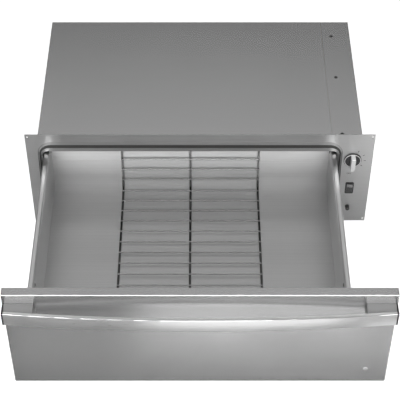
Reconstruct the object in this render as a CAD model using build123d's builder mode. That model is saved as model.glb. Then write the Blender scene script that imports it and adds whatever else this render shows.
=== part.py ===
"""Built in warming drawer, modelled pulled open.

X runs to the right, Y runs back into the cabinet and Z runs up, in millimetres. The origin is the centre of
the four flange screw holes, on the back face of the front flange, where the flange meets the cabinet. The
chassis stands behind the flange, and the drawer hangs out in front of it on its slides.
"""
import os
from math import cos, degrees, pi, sin, sqrt

from build123d import *

os.makedirs("parts", exist_ok=True)

# ------------------------------------------------------------------ driving dimensions
# front flange, which screws to the cabinet face
flange_width = 755.6
flange_height = 267.0
flange_thickness = 1.5
flange_hole_inset_x = 5.5
flange_hole_inset_z = 7.3
flange_hole_diameter = 4.4
flange_border = 21.0            # flange above and below its opening
opening_side_margin = 7.5       # from the cavity walls out to the flange opening
opening_radius = 34.0

# chassis: outer sheet metal box
chassis_depth = 495.0
flange_overhang = 18.0          # flange past each side of the chassis
flange_rise = 57.0              # flange above the chassis roof
chassis_drop = 12.0             # chassis bottom above the lower edge of the flange
rear_bevel = 30.0               # slanted strip along the top of the rear panel: depth it takes off
bevel_drop = 24.0               # and the height that it takes off
skin = 1.0                      # outer sheet
roof_lap = 6.0                  # front edge of the roof, turned up against the collar
cover_strip_width = 67.3        # roof strip that comes off with the control cover
cover_screw_front = 63.5        # from the flange
cover_screw_middle = 257.0
cover_screw_rear = 56.0         # from the rear end of the roof
cover_screw_length = 6.0        # shank under the cover
divider_return_gap = 14.0       # folded edge of the divider, short of the roof's rear end
liner_sheet = 0.8
hairline = 0.1                  # gap of a close fit between two pieces
seat = 0.3                      # gap at which boards and loose sheets lie on each other
left_board = 11.0
right_board = 7.0
floor_board = 10.0
roof_board = 8.0
rear_board = 6.0
divider_sheet = 0.8
control_bay_width = 46.0

# stepped collar and its seal
collar_sheet = 1.0
collar_lap = 4.0
collar_step_depth = 6.5
collar_steps = 3
collar_lip = 0.5                # the last step stands a little deeper
seal_margin = 0.18              # part of the step left bare on each side of the seal
seal_height = 2.5
mouth_radius = 12.0
mouth_sill = 10.0               # lower lip of the mouth, above the cavity floor

# drawer
travel_loss = 59.7              # depth of the chassis that the full extension falls short of
closed_gap = 4.0                # between flange and front panel when shut
bumper_inset = 16.5             # from both sides of the panel's closed back
bumper_rise = 13.5              # above the lower edge of the flange
bumper_diameter = 8.0
bumper_gap = 0.5                # bumpers stay this far clear of the flange when shut
roof_clearance = 5.6            # over the top rails
under_pan_space = 42.4          # for the element and its deflector
rear_clearance = 3.0
pan_sheet = 1.0
cove_radius = 34.0              # large bend between pan floor and back wall
seam_drop = 49.9                # seam across the back wall, below the top of the rails
seam_width = 1.2
seam_depth = 0.5
seam_end = 8.0                  # it stops this far from the side walls
side_sheet = 1.5
rail_width = 10.7
rail_return = 10.0
rail_radius = 2.5
corner_cut = 20.0               # rear top corner of the drawer, under the bevel: length
corner_drop = 13.0              # and height
ledge_width = 12.0              # lip of the side frame, under the pan
front_tab = 9.0

# telescopic slides
slide_thickness = 12.7
slide_height = 45.0
slide_drop = 54.0               # slide centre below the top of the rail
slide_sheet = 1.2
slide_front = 8.0               # outer member behind the flange's back face
slide_rear_gap = 27.0           # and short of the rear of the chassis
middle_inset = 5.0
web_gap = 1.2                   # between the outer and the middle web, where the outer cage runs
outer_reach = 10.8              # flange edges of the outer and middle members, from the wall
ball_gap = 3.2                  # between nested tracks
ball_diameter = 3.1
cage_length = 118.0
cage_sheet = 0.6
cage_gap = 0.3
outer_cage_reach = 8.0
inner_cage_reach = 6.2
inner_reach = 7.7               # flange edges of the inner member, from its own web's outer face
ball_depth = 7.4                # ball centres, from the wall
balls_in_row = 8

# front panel and handle
panel_overhang = 10.4           # panel above the upper edge of the flange
panel_raise = 5.5               # its lower edge, above the lower edge of the flange
panel_thickness = 18.7
panel_sheet = 1.2
panel_edge_radius = 2.0
inner_panel_sheet = 1.0
recess_inset = 1.0              # control recess, from the cavity wall
insulation_top_gap = 4.0        # front board, under the handle screws
handle_inset = 4.3              # end of the bar, from the side of the panel
handle_height = 33.0
handle_drop = 24.4              # below the upper edge of the panel
handle_stand_off = 27.0         # front of the bar at its ends, from the panel
handle_bow = 16.5
handle_thickness = 7.0
handle_crown = 0.8              # its front face bulges this far between its upper and lower edge
handle_edge_radius = 1.2
end_cap_radius = 3.0
block_width = 55.5
end_cap_thickness = 3.0
handle_screw_diameter = 5.0
handle_screw_spacing = 16.0
handle_screw_head = 10.0
handle_screw_depth = 14.0       # tapped hole in the end block
handle_screw_spare = 1.0        # left empty at its bottom

# controls, in one column on the right of the flange
control_inset = 43.8            # from the right hand end of the flange
knob_drop = 74.0                # below the upper edge of the flange
knob_diameter = 38.6
knob_rim_width = 1.8
knob_rim_inset = 1.0            # from the outside of the black skirt
skirt_thickness = 2.8
dial_thickness = 4.6
knob_reach = 20.5               # grip front, from the front of the flange
grip_width = 10.0
grip_length = 35.3
running_gap = 0.3
shaft_diameter = 6.0
shaft_fit = 0.05                # radial clearance of the shaft in its bush
bush_diameter = 9.5
shaft_depth = 11.0              # behind the front of the control body
shaft_hole_spare = 1.0
dial_gap = 0.6                  # between flange and dial
dial_skin = 1.2                 # face of the dial in front of the shaft
rim_chamfer = 0.5
grip_end_radius = 3.0
grip_edge_radius = 1.5
control_body_width = 36.0
control_body_height = 30.0
control_body_depth = 24.0
switch_drop = 160.0
switch_width = 19.0
switch_height = 34.0
switch_bezel = 1.2              # frame outside the hole in the flange
switch_frame = 1.5
switch_corner = 3.5
switch_wall = 1.2
switch_body_depth = 22.0
rocker_well_depth = 9.0
rocker_pivot_y = 1.5
rocker_pin = 2.0
rocker_keel = 4.0
rocker_ridge = 6.5              # above the middle of the rocker
rocker_rise = 4.5               # ridge, in front of the frame
rocker_proud = 1.6              # upper and lower ends, in front of the frame
rocker_sunk = 0.6
rocker_end_gap = 1.2            # room for its ends as they swing in
lamp_drop = 219.5
lamp_diameter = 9.4
lamp_neck = 7.8                 # body in the flange and behind it
lamp_reach = 11.0
lamp_body_length = 24.0
lens_length = 6.0
lens_radius = 3.0

# light pipe in the front panel, in line with the lamp
pipe_diameter = 8.0
pipe_gap = 1.5
pipe_dome = 0.8
clip_diameter = 14.0
clip_thickness = 2.0

# rack of round wire
rack_width = 305.0
long_wire = 5.0
cross_wire = 3.2
wire_sink = 0.5                 # weld depth where wires cross
cross_pitch = 31.3              # measured along the bent long wires
cross_inset = 22.7              # first cross wire below the upper end of the long wires
rack_front_gap = 12.0
rack_rear_gap = 2.0
rack_drop = 15.4                # turned up rear ends, below the top of the rails

# heating element and what carries it
element_diameter = 6.5
element_lift = 13.0
element_side_gap = 46.0
element_setback = 92.0          # first pass of the tube
element_pitch = 100.0
element_turn_radius = 40.0
element_cold_end = 9.0          # out of the cavity wall, into the control bay
sleeve_wall = 1.0               # ceramic sleeve on each end, with a flat tab
sleeve_length = 8.0
tab_width = 6.0
bracket_sheet = 1.5
bracket_height = 26.0
bracket_foot = 12.0
bracket_inset = 60.0            # outer brackets, inside the turns of the tube
bracket_overhang = 22.0         # past the first and the last pass
deflector_margin = 20.0
deflector_front = 60.0
deflector_length = 370.0
deflector_slot = (52.0, 8.0)
deflector_slot_margin = (21.0, 31.0)
deflector_slot_count = (7, 7)
wall_hole_gap = 1.0             # round tubes that pass through the cavity wall

# temperature probe: a bulb on the right hand cavity wall, with a thin tube to the control
probe_diameter = 6.0
probe_length = 70.0
probe_exit = 110.0
probe_drop = 51.5               # below the centre of the slides
capillary_diameter = 2.4
capillary_radius = 12.0
capillary_tight_radius = 2.2    # where it leaves the bulb
capillary_rise = 32.0           # run over which it climbs to the control

# thermal cut-out on the divider
cutout_y = 150.0
cutout_drop = 66.5              # below the roof
cutout_diameter = 16.0
cutout_edge = 0.5
cutout_height = 10.5
cutout_bracket_length = 36.0

# wiring in the control bay
terminal_y = 270.0
terminal_width = 32.0
terminal_length = 40.0
terminal_height = 18.0
terminal_foot = 6.0
terminal_step = 4.0
terminal_pitch = (12.0, 11.0)
terminal_rows = (2, 3)
terminal_well = 6.0
terminal_well_depth = 10.0
harness_diameter = 6.0
harness_side = 8.0              # runs this far beside the line of the controls
harness_sag = 10.0
harness_rear = 330.0            # depths between which it runs straight
harness_front = 110.0
harness_lead = 62.0             # start of its last straight run to the switch
harness_radius = 22.0
junction_width = 40.0
junction_height = 70.0
junction_depth = 60.0
gland_rise = 71.5               # above the chassis bottom
gland_diameter = 20.0
gland_reach = 12.0
gland_flange = 3.0
cable_bore = 11.0
screw_head = 8.0
screw_head_height = 2.0
screw_shank = 3.5
screw_hole_gap = 0.2            # radial clearance of a screw in its hole
pan_screw_drop = 12.5           # below the top of the rail
pan_screw_front = 88.5          # from the ends of the pan
pan_screw_rear = 12.5
pan_screw_head_height = 1.5
pan_screw_end = 2.0             # shank past the side web

# ------------------------------------------------------------------ places worked out from them
flange_top = flange_height / 2
flange_bottom = -flange_height / 2
flange_front = -flange_thickness
hole_spacing_x = flange_width - 2 * flange_hole_inset_x
hole_spacing_z = flange_height - 2 * flange_hole_inset_z
control_x = flange_width / 2 - control_inset
knob_z = flange_top - knob_drop
switch_z = flange_top - switch_drop
lamp_z = flange_top - lamp_drop

chassis_right = flange_width / 2 - flange_overhang
chassis_left = -chassis_right
chassis_width = chassis_right - chassis_left
chassis_bottom_z = flange_bottom + chassis_drop
chassis_top_z = flange_top - flange_rise
roof_back = chassis_depth - rear_bevel
bevel_slant = sqrt(rear_bevel**2 + bevel_drop**2)
cover_seam = chassis_right - cover_strip_width

# inner faces of the liner
cavity_left = chassis_left + skin + seat + left_board + seat + liner_sheet
divider_x = chassis_right - skin - control_bay_width - divider_sheet
cavity_right = divider_x - seat - right_board - seat - liner_sheet
cavity_floor = chassis_bottom_z + skin + seat + floor_board + seat + liner_sheet
cavity_roof = chassis_top_z - skin - seat - roof_board - seat - liner_sheet
rear_layers = skin + seat + rear_board + seat + liner_sheet
cavity_back = chassis_depth - rear_layers
cavity_centre = (cavity_left + cavity_right) / 2
cavity_width = cavity_right - cavity_left
collar_depth = collar_steps * collar_step_depth + collar_lip

# flange opening
opening_left = cavity_left - opening_side_margin
opening_right = cavity_right + opening_side_margin
opening_top = flange_top - flange_border
opening_bottom = flange_bottom + flange_border

# drawer, at rest, pulled right out
travel = chassis_depth - travel_loss
panel_back = flange_front - closed_gap - travel
panel_front = panel_back - panel_thickness
rail_top = cavity_roof - roof_clearance
pan_floor = cavity_floor + under_pan_space + pan_sheet
pan_back = cavity_back - rear_clearance - travel            # outer face of the back wall
pan_front = panel_back + seat
web_half = cavity_width / 2 - slide_thickness               # outer face of the side webs
pan_half = web_half - side_sheet - seat                     # outer face of the pan walls
pan_rim = rail_top - side_sheet
back_rim = rail_top - corner_drop
slide_z = rail_top - slide_drop
slide_length = chassis_depth - slide_front - slide_rear_gap
probe_z = slide_z - probe_drop
rack_floor = pan_floor + seat


def facing(y):
    """Plane at depth y that looks out of the cabinet: local x is X, local y is Z, extrusions come forward."""
    return Plane.XZ.offset(-y)


def sideways(x):
    """Plane at x that looks to the right: local x is Y, local y is Z, extrusions go right."""
    return Plane.YZ.offset(x)


def slab(x0, x1, y0, y1, z0, z1, mode=Mode.ADD):
    """Flat rectangular piece between two corners."""
    with Locations((x0, y0, z0)):
        Box(x1 - x0, y1 - y0, z1 - z0, align=Align.MIN, mode=mode)


def collar_outline(step, grow=0.0, mode=Mode.ADD):
    """Rounded outline that shrinks, step by step, from the flange opening to the mouth of the cavity."""
    share = step / collar_steps
    left = opening_left + share * (cavity_left - opening_left) - grow
    right = opening_right + share * (cavity_right - opening_right) + grow
    top = opening_top + share * (cavity_roof - opening_top) + grow
    bottom = opening_bottom + share * (cavity_floor + mouth_sill - opening_bottom) - grow
    radius = opening_radius + share * (mouth_radius - opening_radius) + grow
    with Locations(((left + right) / 2, (top + bottom) / 2)):
        RectangleRounded(right - left, top - bottom, radius, mode=mode)


def bevel_start(layers):
    """Height at which the slanted strip starts, at a depth below the outside of the rear panel."""
    return chassis_top_z - bevel_drop - layers * (bevel_slant - bevel_drop) / rear_bevel


def bevel_y(layers, z):
    """Y of the slanted strip at height z, at a depth below the outside of the rear panel."""
    climb = z - chassis_top_z + bevel_drop
    return chassis_depth - (layers * bevel_slant + climb * rear_bevel) / bevel_drop


def rear_profile(outer, inner, low, high):
    """Side view of a sheet that follows the rear panel, between two depths below its outside."""
    return [
        (chassis_depth - outer, low),
        (chassis_depth - outer, bevel_start(outer)),
        (bevel_y(outer, high), high),
        (bevel_y(inner, high), high),
        (chassis_depth - inner, bevel_start(inner)),
        (chassis_depth - inner, low),
    ]


def wall_profile(front, layers, low, high):
    """Side view of a wall that ends against a layer of the rear panel, with its corner under the bevel."""
    back = chassis_depth - layers
    return [(front, low), (back, low), (back, bevel_start(layers)), (bevel_y(layers, high), high), (front, high)]


# ------------------------------------------------------------------ front flange and collar
# Plain steel plate with a large opening, four corner screw holes and the holes for the controls.
with BuildPart() as front_flange:
    with BuildSketch(facing(0)):
        Rectangle(flange_width, flange_height)
        collar_outline(0, mode=Mode.SUBTRACT)
        with GridLocations(hole_spacing_x, hole_spacing_z, 2, 2):
            Circle(flange_hole_diameter / 2, mode=Mode.SUBTRACT)
        with Locations((control_x, knob_z)):
            Circle(bush_diameter / 2 + running_gap, mode=Mode.SUBTRACT)
        with Locations((control_x, lamp_z)):
            Circle(lamp_neck / 2 + running_gap, mode=Mode.SUBTRACT)
        with Locations((control_x, switch_z)):
            Rectangle(switch_width - 2 * switch_bezel, switch_height - 2 * switch_bezel, mode=Mode.SUBTRACT)
    extrude(amount=flange_thickness)
front_flange.part.label = "front_flange"
export_step(front_flange.part, "parts/front_flange.step")

# Pressed collar: it laps the back of the flange and steps back and inwards to the mouth of the cavity.
with BuildPart() as opening_collar:
    with BuildSketch(facing(collar_sheet)):
        collar_outline(0, grow=collar_lap)
        collar_outline(0, mode=Mode.SUBTRACT)
    extrude(amount=collar_sheet)
    for step in range(collar_steps):
        step_back = collar_depth if step == collar_steps - 1 else (step + 1) * collar_step_depth
        step_front = step * collar_step_depth
        with BuildSketch(facing(step_back)):
            collar_outline(step, grow=collar_sheet)
            collar_outline(step, mode=Mode.SUBTRACT)
        extrude(amount=step_back - step_front + (collar_sheet if step else 0))
        with BuildSketch(facing(step_back)):
            collar_outline(step, grow=collar_sheet)
            collar_outline(step + 1, mode=Mode.SUBTRACT)
        extrude(amount=collar_sheet)
opening_collar.part.label = "opening_collar"
export_step(opening_collar.part, "parts/opening_collar.step")

# Rubber seal on the second step of the collar, all round the mouth.
seal_back = 2 * collar_step_depth - collar_sheet - running_gap
with BuildPart() as rim_seal:
    with BuildSketch(facing(seal_back)):
        collar_outline(1 + seal_margin)
        collar_outline(2 - seal_margin, mode=Mode.SUBTRACT)
    extrude(amount=seal_height)
rim_seal.part.label = "rim_seal"
export_step(rim_seal.part, "parts/rim_seal.step")

# ------------------------------------------------------------------ outer chassis
side_low = chassis_bottom_z + skin
side_high = chassis_top_z - skin
with BuildPart() as chassis_bottom:
    slab(chassis_left, chassis_right, 0, chassis_depth, chassis_bottom_z, side_low)
chassis_bottom.part.label = "chassis_bottom"
export_step(chassis_bottom.part, "parts/chassis_bottom.step")

with BuildPart() as chassis_left_side:
    with BuildSketch(sideways(chassis_left)):
        Polygon(*wall_profile(0, 0, side_low, side_high), align=None)
    extrude(amount=skin)
chassis_left_side.part.label = "chassis_left_side"
export_step(chassis_left_side.part, "parts/chassis_left_side.step")

with BuildPart() as chassis_roof:
    slab(chassis_left, cover_seam, collar_depth, roof_back, side_high, chassis_top_z)
    slab(chassis_left + opening_radius, cover_seam - opening_radius, collar_depth, collar_depth + skin,
         side_high, side_high + roof_lap)
chassis_roof.part.label = "chassis_roof"
export_step(chassis_roof.part, "parts/chassis_roof.step")

# L shaped cover over the control bay: a roof strip and the right hand side in one folded sheet.
cover_notch = opening_right + collar_lap + skin
screw_x = divider_x + divider_sheet + screw_shank / 2 + divider_sheet
cover_screw_rows = (cover_screw_front, cover_screw_middle, roof_back - cover_screw_rear)
with BuildPart() as control_cover:
    with BuildSketch(sideways(chassis_right - skin)):
        Polygon(*wall_profile(0, 0, side_low, side_high), align=None)
    extrude(amount=skin)
    slab(cover_seam + seat, chassis_right, 0, roof_back, side_high, chassis_top_z)
    slab(cover_seam, cover_notch, -1, collar_depth, side_high - 1, chassis_top_z + 1, mode=Mode.SUBTRACT)
    with Locations(*[(screw_x, y, chassis_top_z) for y in cover_screw_rows]):
        Hole(screw_shank / 2 + screw_hole_gap, depth=skin)
control_cover.part.label = "control_cover"
export_step(control_cover.part, "parts/control_cover.step")

# Rear panel with a slanted upper strip. The cable gland passes through its right hand end.
gland_x = (divider_x + divider_sheet + chassis_right - skin) / 2
gland_z = chassis_bottom_z + gland_rise
with BuildPart() as rear_panel:
    with BuildSketch(sideways(chassis_left + skin)):
        Polygon(*rear_profile(0, skin, side_low, side_high), align=None)
    extrude(amount=chassis_width - 2 * skin)
    with BuildSketch(facing(chassis_depth)):
        with Locations((gland_x, gland_z)):
            Circle(gland_diameter / 2 + seat)
    extrude(amount=skin, mode=Mode.SUBTRACT)
rear_panel.part.label = "rear_panel"
export_step(rear_panel.part, "parts/rear_panel.step")

# Upright sheet between the cavity and the control bay. Its top edge is folded over to take the cover screws.
element_ends = (element_setback, element_setback + 3 * element_pitch)
element_z = cavity_floor + element_lift
with BuildPart() as control_divider:
    with BuildSketch(sideways(divider_x)):
        Polygon(*wall_profile(collar_depth, skin, side_low, side_high), align=None)
        with Locations(*[(y, element_z) for y in element_ends]):
            Circle(element_diameter / 2 + wall_hole_gap, mode=Mode.SUBTRACT)
        with Locations((probe_exit, probe_z)):
            Circle(capillary_diameter / 2 + wall_hole_gap, mode=Mode.SUBTRACT)
    extrude(amount=divider_sheet)
    slab(divider_x, screw_x + screw_head, collar_depth, roof_back - divider_return_gap,
         side_high - divider_sheet, side_high)
    with Locations(*[(screw_x, y, side_high) for y in cover_screw_rows]):
        Hole(screw_shank / 2 + screw_hole_gap, depth=divider_sheet)
control_divider.part.label = "control_divider"
export_step(control_divider.part, "parts/control_divider.step")

# ------------------------------------------------------------------ liner of the heated cavity
liner_left = cavity_left - liner_sheet
liner_right = cavity_right + liner_sheet
with BuildPart() as liner_floor:
    slab(liner_left, liner_right, collar_depth, cavity_back, cavity_floor - liner_sheet, cavity_floor)
liner_floor.part.label = "liner_floor"
export_step(liner_floor.part, "parts/liner_floor.step")

for hand, wall_x in (("left", liner_left), ("right", cavity_right)):
    with BuildPart() as liner_wall:
        with BuildSketch(sideways(wall_x)):
            Polygon(*wall_profile(collar_depth, rear_layers, cavity_floor, cavity_roof), align=None)
            if hand == "right":
                with Locations(*[(y, element_z) for y in element_ends]):
                    Circle(element_diameter / 2 + wall_hole_gap, mode=Mode.SUBTRACT)
                with Locations((probe_exit, probe_z)):
                    Circle(capillary_diameter / 2 + wall_hole_gap, mode=Mode.SUBTRACT)
        extrude(amount=liner_sheet)
    liner_wall.part.label = f"liner_{hand}"
    export_step(liner_wall.part, f"parts/liner_{hand}.step")

with BuildPart() as liner_roof:
    slab(liner_left, liner_right, collar_depth, bevel_y(rear_layers, cavity_roof + liner_sheet),
         cavity_roof, cavity_roof + liner_sheet)
liner_roof.part.label = "liner_roof"
export_step(liner_roof.part, "parts/liner_roof.step")

with BuildPart() as liner_back:
    with BuildSketch(sideways(liner_left)):
        Polygon(
            *rear_profile(rear_layers - liner_sheet, rear_layers,
                          cavity_floor - liner_sheet, cavity_roof + liner_sheet),
            align=None,
        )
    extrude(amount=liner_right - liner_left)
liner_back.part.label = "liner_back"
export_step(liner_back.part, "parts/liner_back.step")

# ------------------------------------------------------------------ insulation boards between liner and skin
board_front = collar_depth + seat
board_low = side_low + seat
board_high = side_high - seat
left_board_x = chassis_left + skin + seat
right_board_x = liner_right + seat
board_inner = skin + seat + rear_board
with BuildPart() as floor_insulation:
    slab(liner_left, liner_right, board_front, chassis_depth - board_inner - seat,
         board_low, board_low + floor_board)
floor_insulation.part.label = "floor_insulation"
export_step(floor_insulation.part, "parts/floor_insulation.step")

with BuildPart() as side_insulation:
    for board_x, board, has_holes in ((left_board_x, left_board, False), (right_board_x, right_board, True)):
        with BuildSketch(sideways(board_x)):
            Polygon(
                *wall_profile(board_front, board_inner + seat, board_low, cavity_roof + liner_sheet),
                align=None,
            )
            if has_holes:
                with Locations(*[(y, element_z) for y in element_ends]):
                    Circle(element_diameter / 2 + wall_hole_gap, mode=Mode.SUBTRACT)
                with Locations((probe_exit, probe_z)):
                    Circle(capillary_diameter / 2 + wall_hole_gap, mode=Mode.SUBTRACT)
        extrude(amount=board)
side_insulation.part.label = "side_insulation"
export_step(side_insulation.part, "parts/side_insulation.step")

with BuildPart() as roof_insulation:
    slab(left_board_x, right_board_x + right_board, board_front, bevel_y(board_inner, board_high) - seat,
         board_high - roof_board, board_high)
roof_insulation.part.label = "roof_insulation"
export_step(roof_insulation.part, "parts/roof_insulation.step")

with BuildPart() as rear_insulation:
    with BuildSketch(sideways(left_board_x)):
        Polygon(*rear_profile(skin + seat, board_inner, board_low, board_high), align=None)
    extrude(amount=right_board_x + right_board - left_board_x)
rear_insulation.part.label = "rear_insulation"
export_step(rear_insulation.part, "parts/rear_insulation.step")

# ------------------------------------------------------------------ heating element
# One steel tube in four passes over the cavity floor. Both ends leave through the right hand wall.
element_left = cavity_left + element_side_gap
element_right = cavity_right - element_side_gap - element_turn_radius
element_end = divider_x + divider_sheet + element_cold_end
passes = [element_setback + i * element_pitch for i in range(4)]
with BuildPart() as heating_element:
    with BuildLine() as element_path:
        FilletPolyline(
            (element_end, passes[0], element_z),
            (element_left, passes[0], element_z),
            (element_left, passes[1], element_z),
            (element_right, passes[1], element_z),
            (element_right, passes[2], element_z),
            (element_left, passes[2], element_z),
            (element_left, passes[3], element_z),
            (element_end, passes[3], element_z),
            radius=element_turn_radius,
        )
    with BuildSketch(Plane(origin=element_path.line @ 0, z_dir=element_path.line % 0)):
        Circle(element_diameter / 2)
    sweep()
heating_element.part.label = "heating_element"
export_step(heating_element.part, "parts/heating_element.step")

# Ceramic sleeves with a flat tab on the two cold ends.
sleeve_start = element_end + seat
tab_start = sleeve_start + sleeve_length
with BuildPart() as element_terminals:
    for y in element_ends:
        with BuildSketch(sideways(sleeve_start)):
            with Locations((y, element_z)):
                Circle(element_diameter / 2 + sleeve_wall)
        extrude(amount=sleeve_length)
        slab(tab_start, tab_start + sleeve_length, y - tab_width / 2, y + tab_width / 2,
             element_z - liner_sheet / 2, element_z + liner_sheet / 2)
element_terminals.part.label = "element_terminals"
export_step(element_terminals.part, "parts/element_terminals.step")

# Upright strips on the cavity floor. The tube passes through them, and they hold up the deflector.
bracket_places = (element_left + bracket_inset, cavity_centre, element_right - bracket_inset)
bracket_front = passes[0] - bracket_overhang
bracket_back = passes[3] + bracket_overhang
with BuildPart() as element_brackets:
    for x in bracket_places:
        with BuildSketch(sideways(x)):
            with Locations(((bracket_front + bracket_back) / 2, cavity_floor + bracket_height / 2)):
                Rectangle(bracket_back - bracket_front, bracket_height)
            with Locations(*[(y, element_z) for y in passes]):
                Circle(element_diameter / 2 + running_gap, mode=Mode.SUBTRACT)
        extrude(amount=bracket_sheet)
        slab(x, x + bracket_foot, bracket_front, bracket_back, cavity_floor, cavity_floor + bracket_sheet)
element_brackets.part.label = "element_brackets"
export_step(element_brackets.part, "parts/element_brackets.step")

# Slotted plate over the element, which spreads its heat under the pan.
deflector_z = cavity_floor + bracket_height
deflector_plate = (cavity_width - 2 * deflector_margin, deflector_length)
slot_pitch = [
    (plate - slot - 2 * margin) / (count - 1)
    for plate, slot, margin, count in zip(
        deflector_plate, deflector_slot, deflector_slot_margin, deflector_slot_count)
]
with BuildPart() as heat_deflector:
    with BuildSketch(Plane.XY.offset(deflector_z)):
        with Locations((cavity_centre, deflector_front + deflector_length / 2)):
            Rectangle(*deflector_plate)
            with GridLocations(*slot_pitch, *deflector_slot_count):
                SlotOverall(*deflector_slot, mode=Mode.SUBTRACT)
    extrude(amount=liner_sheet)
heat_deflector.part.label = "heat_deflector"
export_step(heat_deflector.part, "parts/heat_deflector.step")

# ------------------------------------------------------------------ telescopic slides
# Outer members on the cavity walls, middle members between, inner members on the drawer, and the cages that
# hold the balls between them. Each node holds the left and the right hand piece, which move together.
outer_half = slide_height / 2
middle_half = outer_half - slide_sheet - ball_gap
inner_half = middle_half - slide_sheet - ball_gap
middle_web = slide_sheet + web_gap
outer_span = (slide_front, slide_front + slide_length)
middle_span = (slide_front + middle_inset - travel / 2, slide_front + slide_length - middle_inset - travel / 2)
inner_span = (slide_front - travel, slide_front + slide_length - travel)
outer_cage_middle = (outer_span[0] + middle_span[1]) / 2
inner_cage_middle = (middle_span[0] + inner_span[1]) / 2
hands = ((cavity_left, 1), (cavity_right, -1))


def channel(wall_x, out, span, half, near, far, web, sheet):
    """C shaped member along Y. Depths run from the cavity wall towards the drawer; its web starts at web."""
    for depths, low, high in (
        ((web, web + sheet), -half, half),
        ((near, far), half - sheet, half),
        ((near, far), -half, sheet - half),
    ):
        x0, x1 = sorted(wall_x + out * depth for depth in depths)
        slab(x0, x1, span[0], span[1], slide_z + low, slide_z + high)


def ball_cage(wall_x, out, middle, track, web, reach):
    """Thin C shaped retainer with a row of balls in its upper and its lower flange."""
    span = (middle - cage_length / 2, middle + cage_length / 2)
    channel(wall_x, out, span, track + cage_sheet / 2, web, web + reach, web, cage_sheet)
    pitch = cage_length / balls_in_row
    for row in (-1, 1):
        for i in range(balls_in_row):
            with Locations((wall_x + out * ball_depth, span[0] + (i + 0.5) * pitch, slide_z + row * track)):
                Sphere(ball_diameter / 2)


with BuildPart() as slide_outer:
    for wall_x, out in hands:
        channel(wall_x, out, outer_span, outer_half, 0, outer_reach, 0, slide_sheet)
slide_outer.part.label = "slide_outer"
export_step(slide_outer.part, "parts/slide_outer.step")

with BuildPart() as slide_middle:
    for wall_x, out in hands:
        channel(wall_x, out, middle_span, middle_half, middle_web, outer_reach, middle_web, slide_sheet)
slide_middle.part.label = "slide_middle"
export_step(slide_middle.part, "parts/slide_middle.step")

with BuildPart() as slide_inner:
    for wall_x, out in hands:
        channel(wall_x, out, inner_span, inner_half, slide_thickness - inner_reach, slide_thickness,
                slide_thickness - slide_sheet, slide_sheet)
slide_inner.part.label = "slide_inner"
export_step(slide_inner.part, "parts/slide_inner.step")

outer_track = outer_half - slide_sheet - ball_gap / 2
with BuildPart() as outer_ball_cage:
    for wall_x, out in hands:
        ball_cage(wall_x, out, outer_cage_middle, outer_track, slide_sheet + cage_gap, outer_cage_reach)
outer_ball_cage.part.label = "outer_ball_cage"
export_step(outer_ball_cage.part, "parts/outer_ball_cage.step")

inner_track = middle_half - slide_sheet - ball_gap / 2
with BuildPart() as inner_ball_cage:
    for wall_x, out in hands:
        ball_cage(wall_x, out, inner_cage_middle, inner_track, middle_web + slide_sheet + cage_gap,
                  inner_cage_reach)
inner_ball_cage.part.label = "inner_ball_cage"
export_step(inner_ball_cage.part, "parts/inner_ball_cage.step")

# ------------------------------------------------------------------ drawer box
# Stainless pan, open at the top, with a large cove along its back.
pan_screw_z = rail_top - pan_screw_drop
pan_screw_rows = (pan_front + pan_screw_front, pan_back - pan_screw_rear)
with BuildPart() as drawer_pan:
    with BuildSketch(sideways(cavity_centre - pan_half)):
        Polygon(
            (pan_front, pan_rim),
            (pan_front, pan_floor - pan_sheet),
            (pan_back, pan_floor - pan_sheet),
            (pan_back, back_rim),
            (pan_back - corner_cut * (corner_drop - side_sheet) / corner_drop, pan_rim),
            align=None,
        )
        fillet(vertices().sort_by(Axis.Y)[:2].sort_by(Axis.X)[-1:], cove_radius + pan_sheet)
    extrude(amount=2 * pan_half)
    with BuildSketch(sideways(cavity_centre - pan_half + pan_sheet)):
        Polygon(
            (pan_front + pan_sheet, rail_top),
            (pan_front + pan_sheet, pan_floor),
            (pan_back - pan_sheet, pan_floor),
            (pan_back - pan_sheet, rail_top),
            align=None,
        )
        fillet(vertices().sort_by(Axis.Y)[:2].sort_by(Axis.X)[-1:], cove_radius)
    extrude(amount=2 * (pan_half - pan_sheet), mode=Mode.SUBTRACT)
    with BuildSketch(sideways(cavity_centre - pan_half)):
        with Locations(*[(y, pan_screw_z) for y in pan_screw_rows]):
            Circle(screw_shank / 2 + screw_hole_gap)
    extrude(amount=2 * pan_half, mode=Mode.SUBTRACT)
    # seam where the sheet of the floor and cove meets the upper strip of the back wall
    seam_z = rail_top - seam_drop
    slab(cavity_centre - pan_half + seam_end, cavity_centre + pan_half - seam_end,
         pan_back - pan_sheet, pan_back - pan_sheet + seam_depth,
         seam_z - seam_width / 2, seam_z + seam_width / 2, mode=Mode.SUBTRACT)
drawer_pan.part.label = "drawer_pan"
export_step(drawer_pan.part, "parts/drawer_pan.step")

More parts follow.
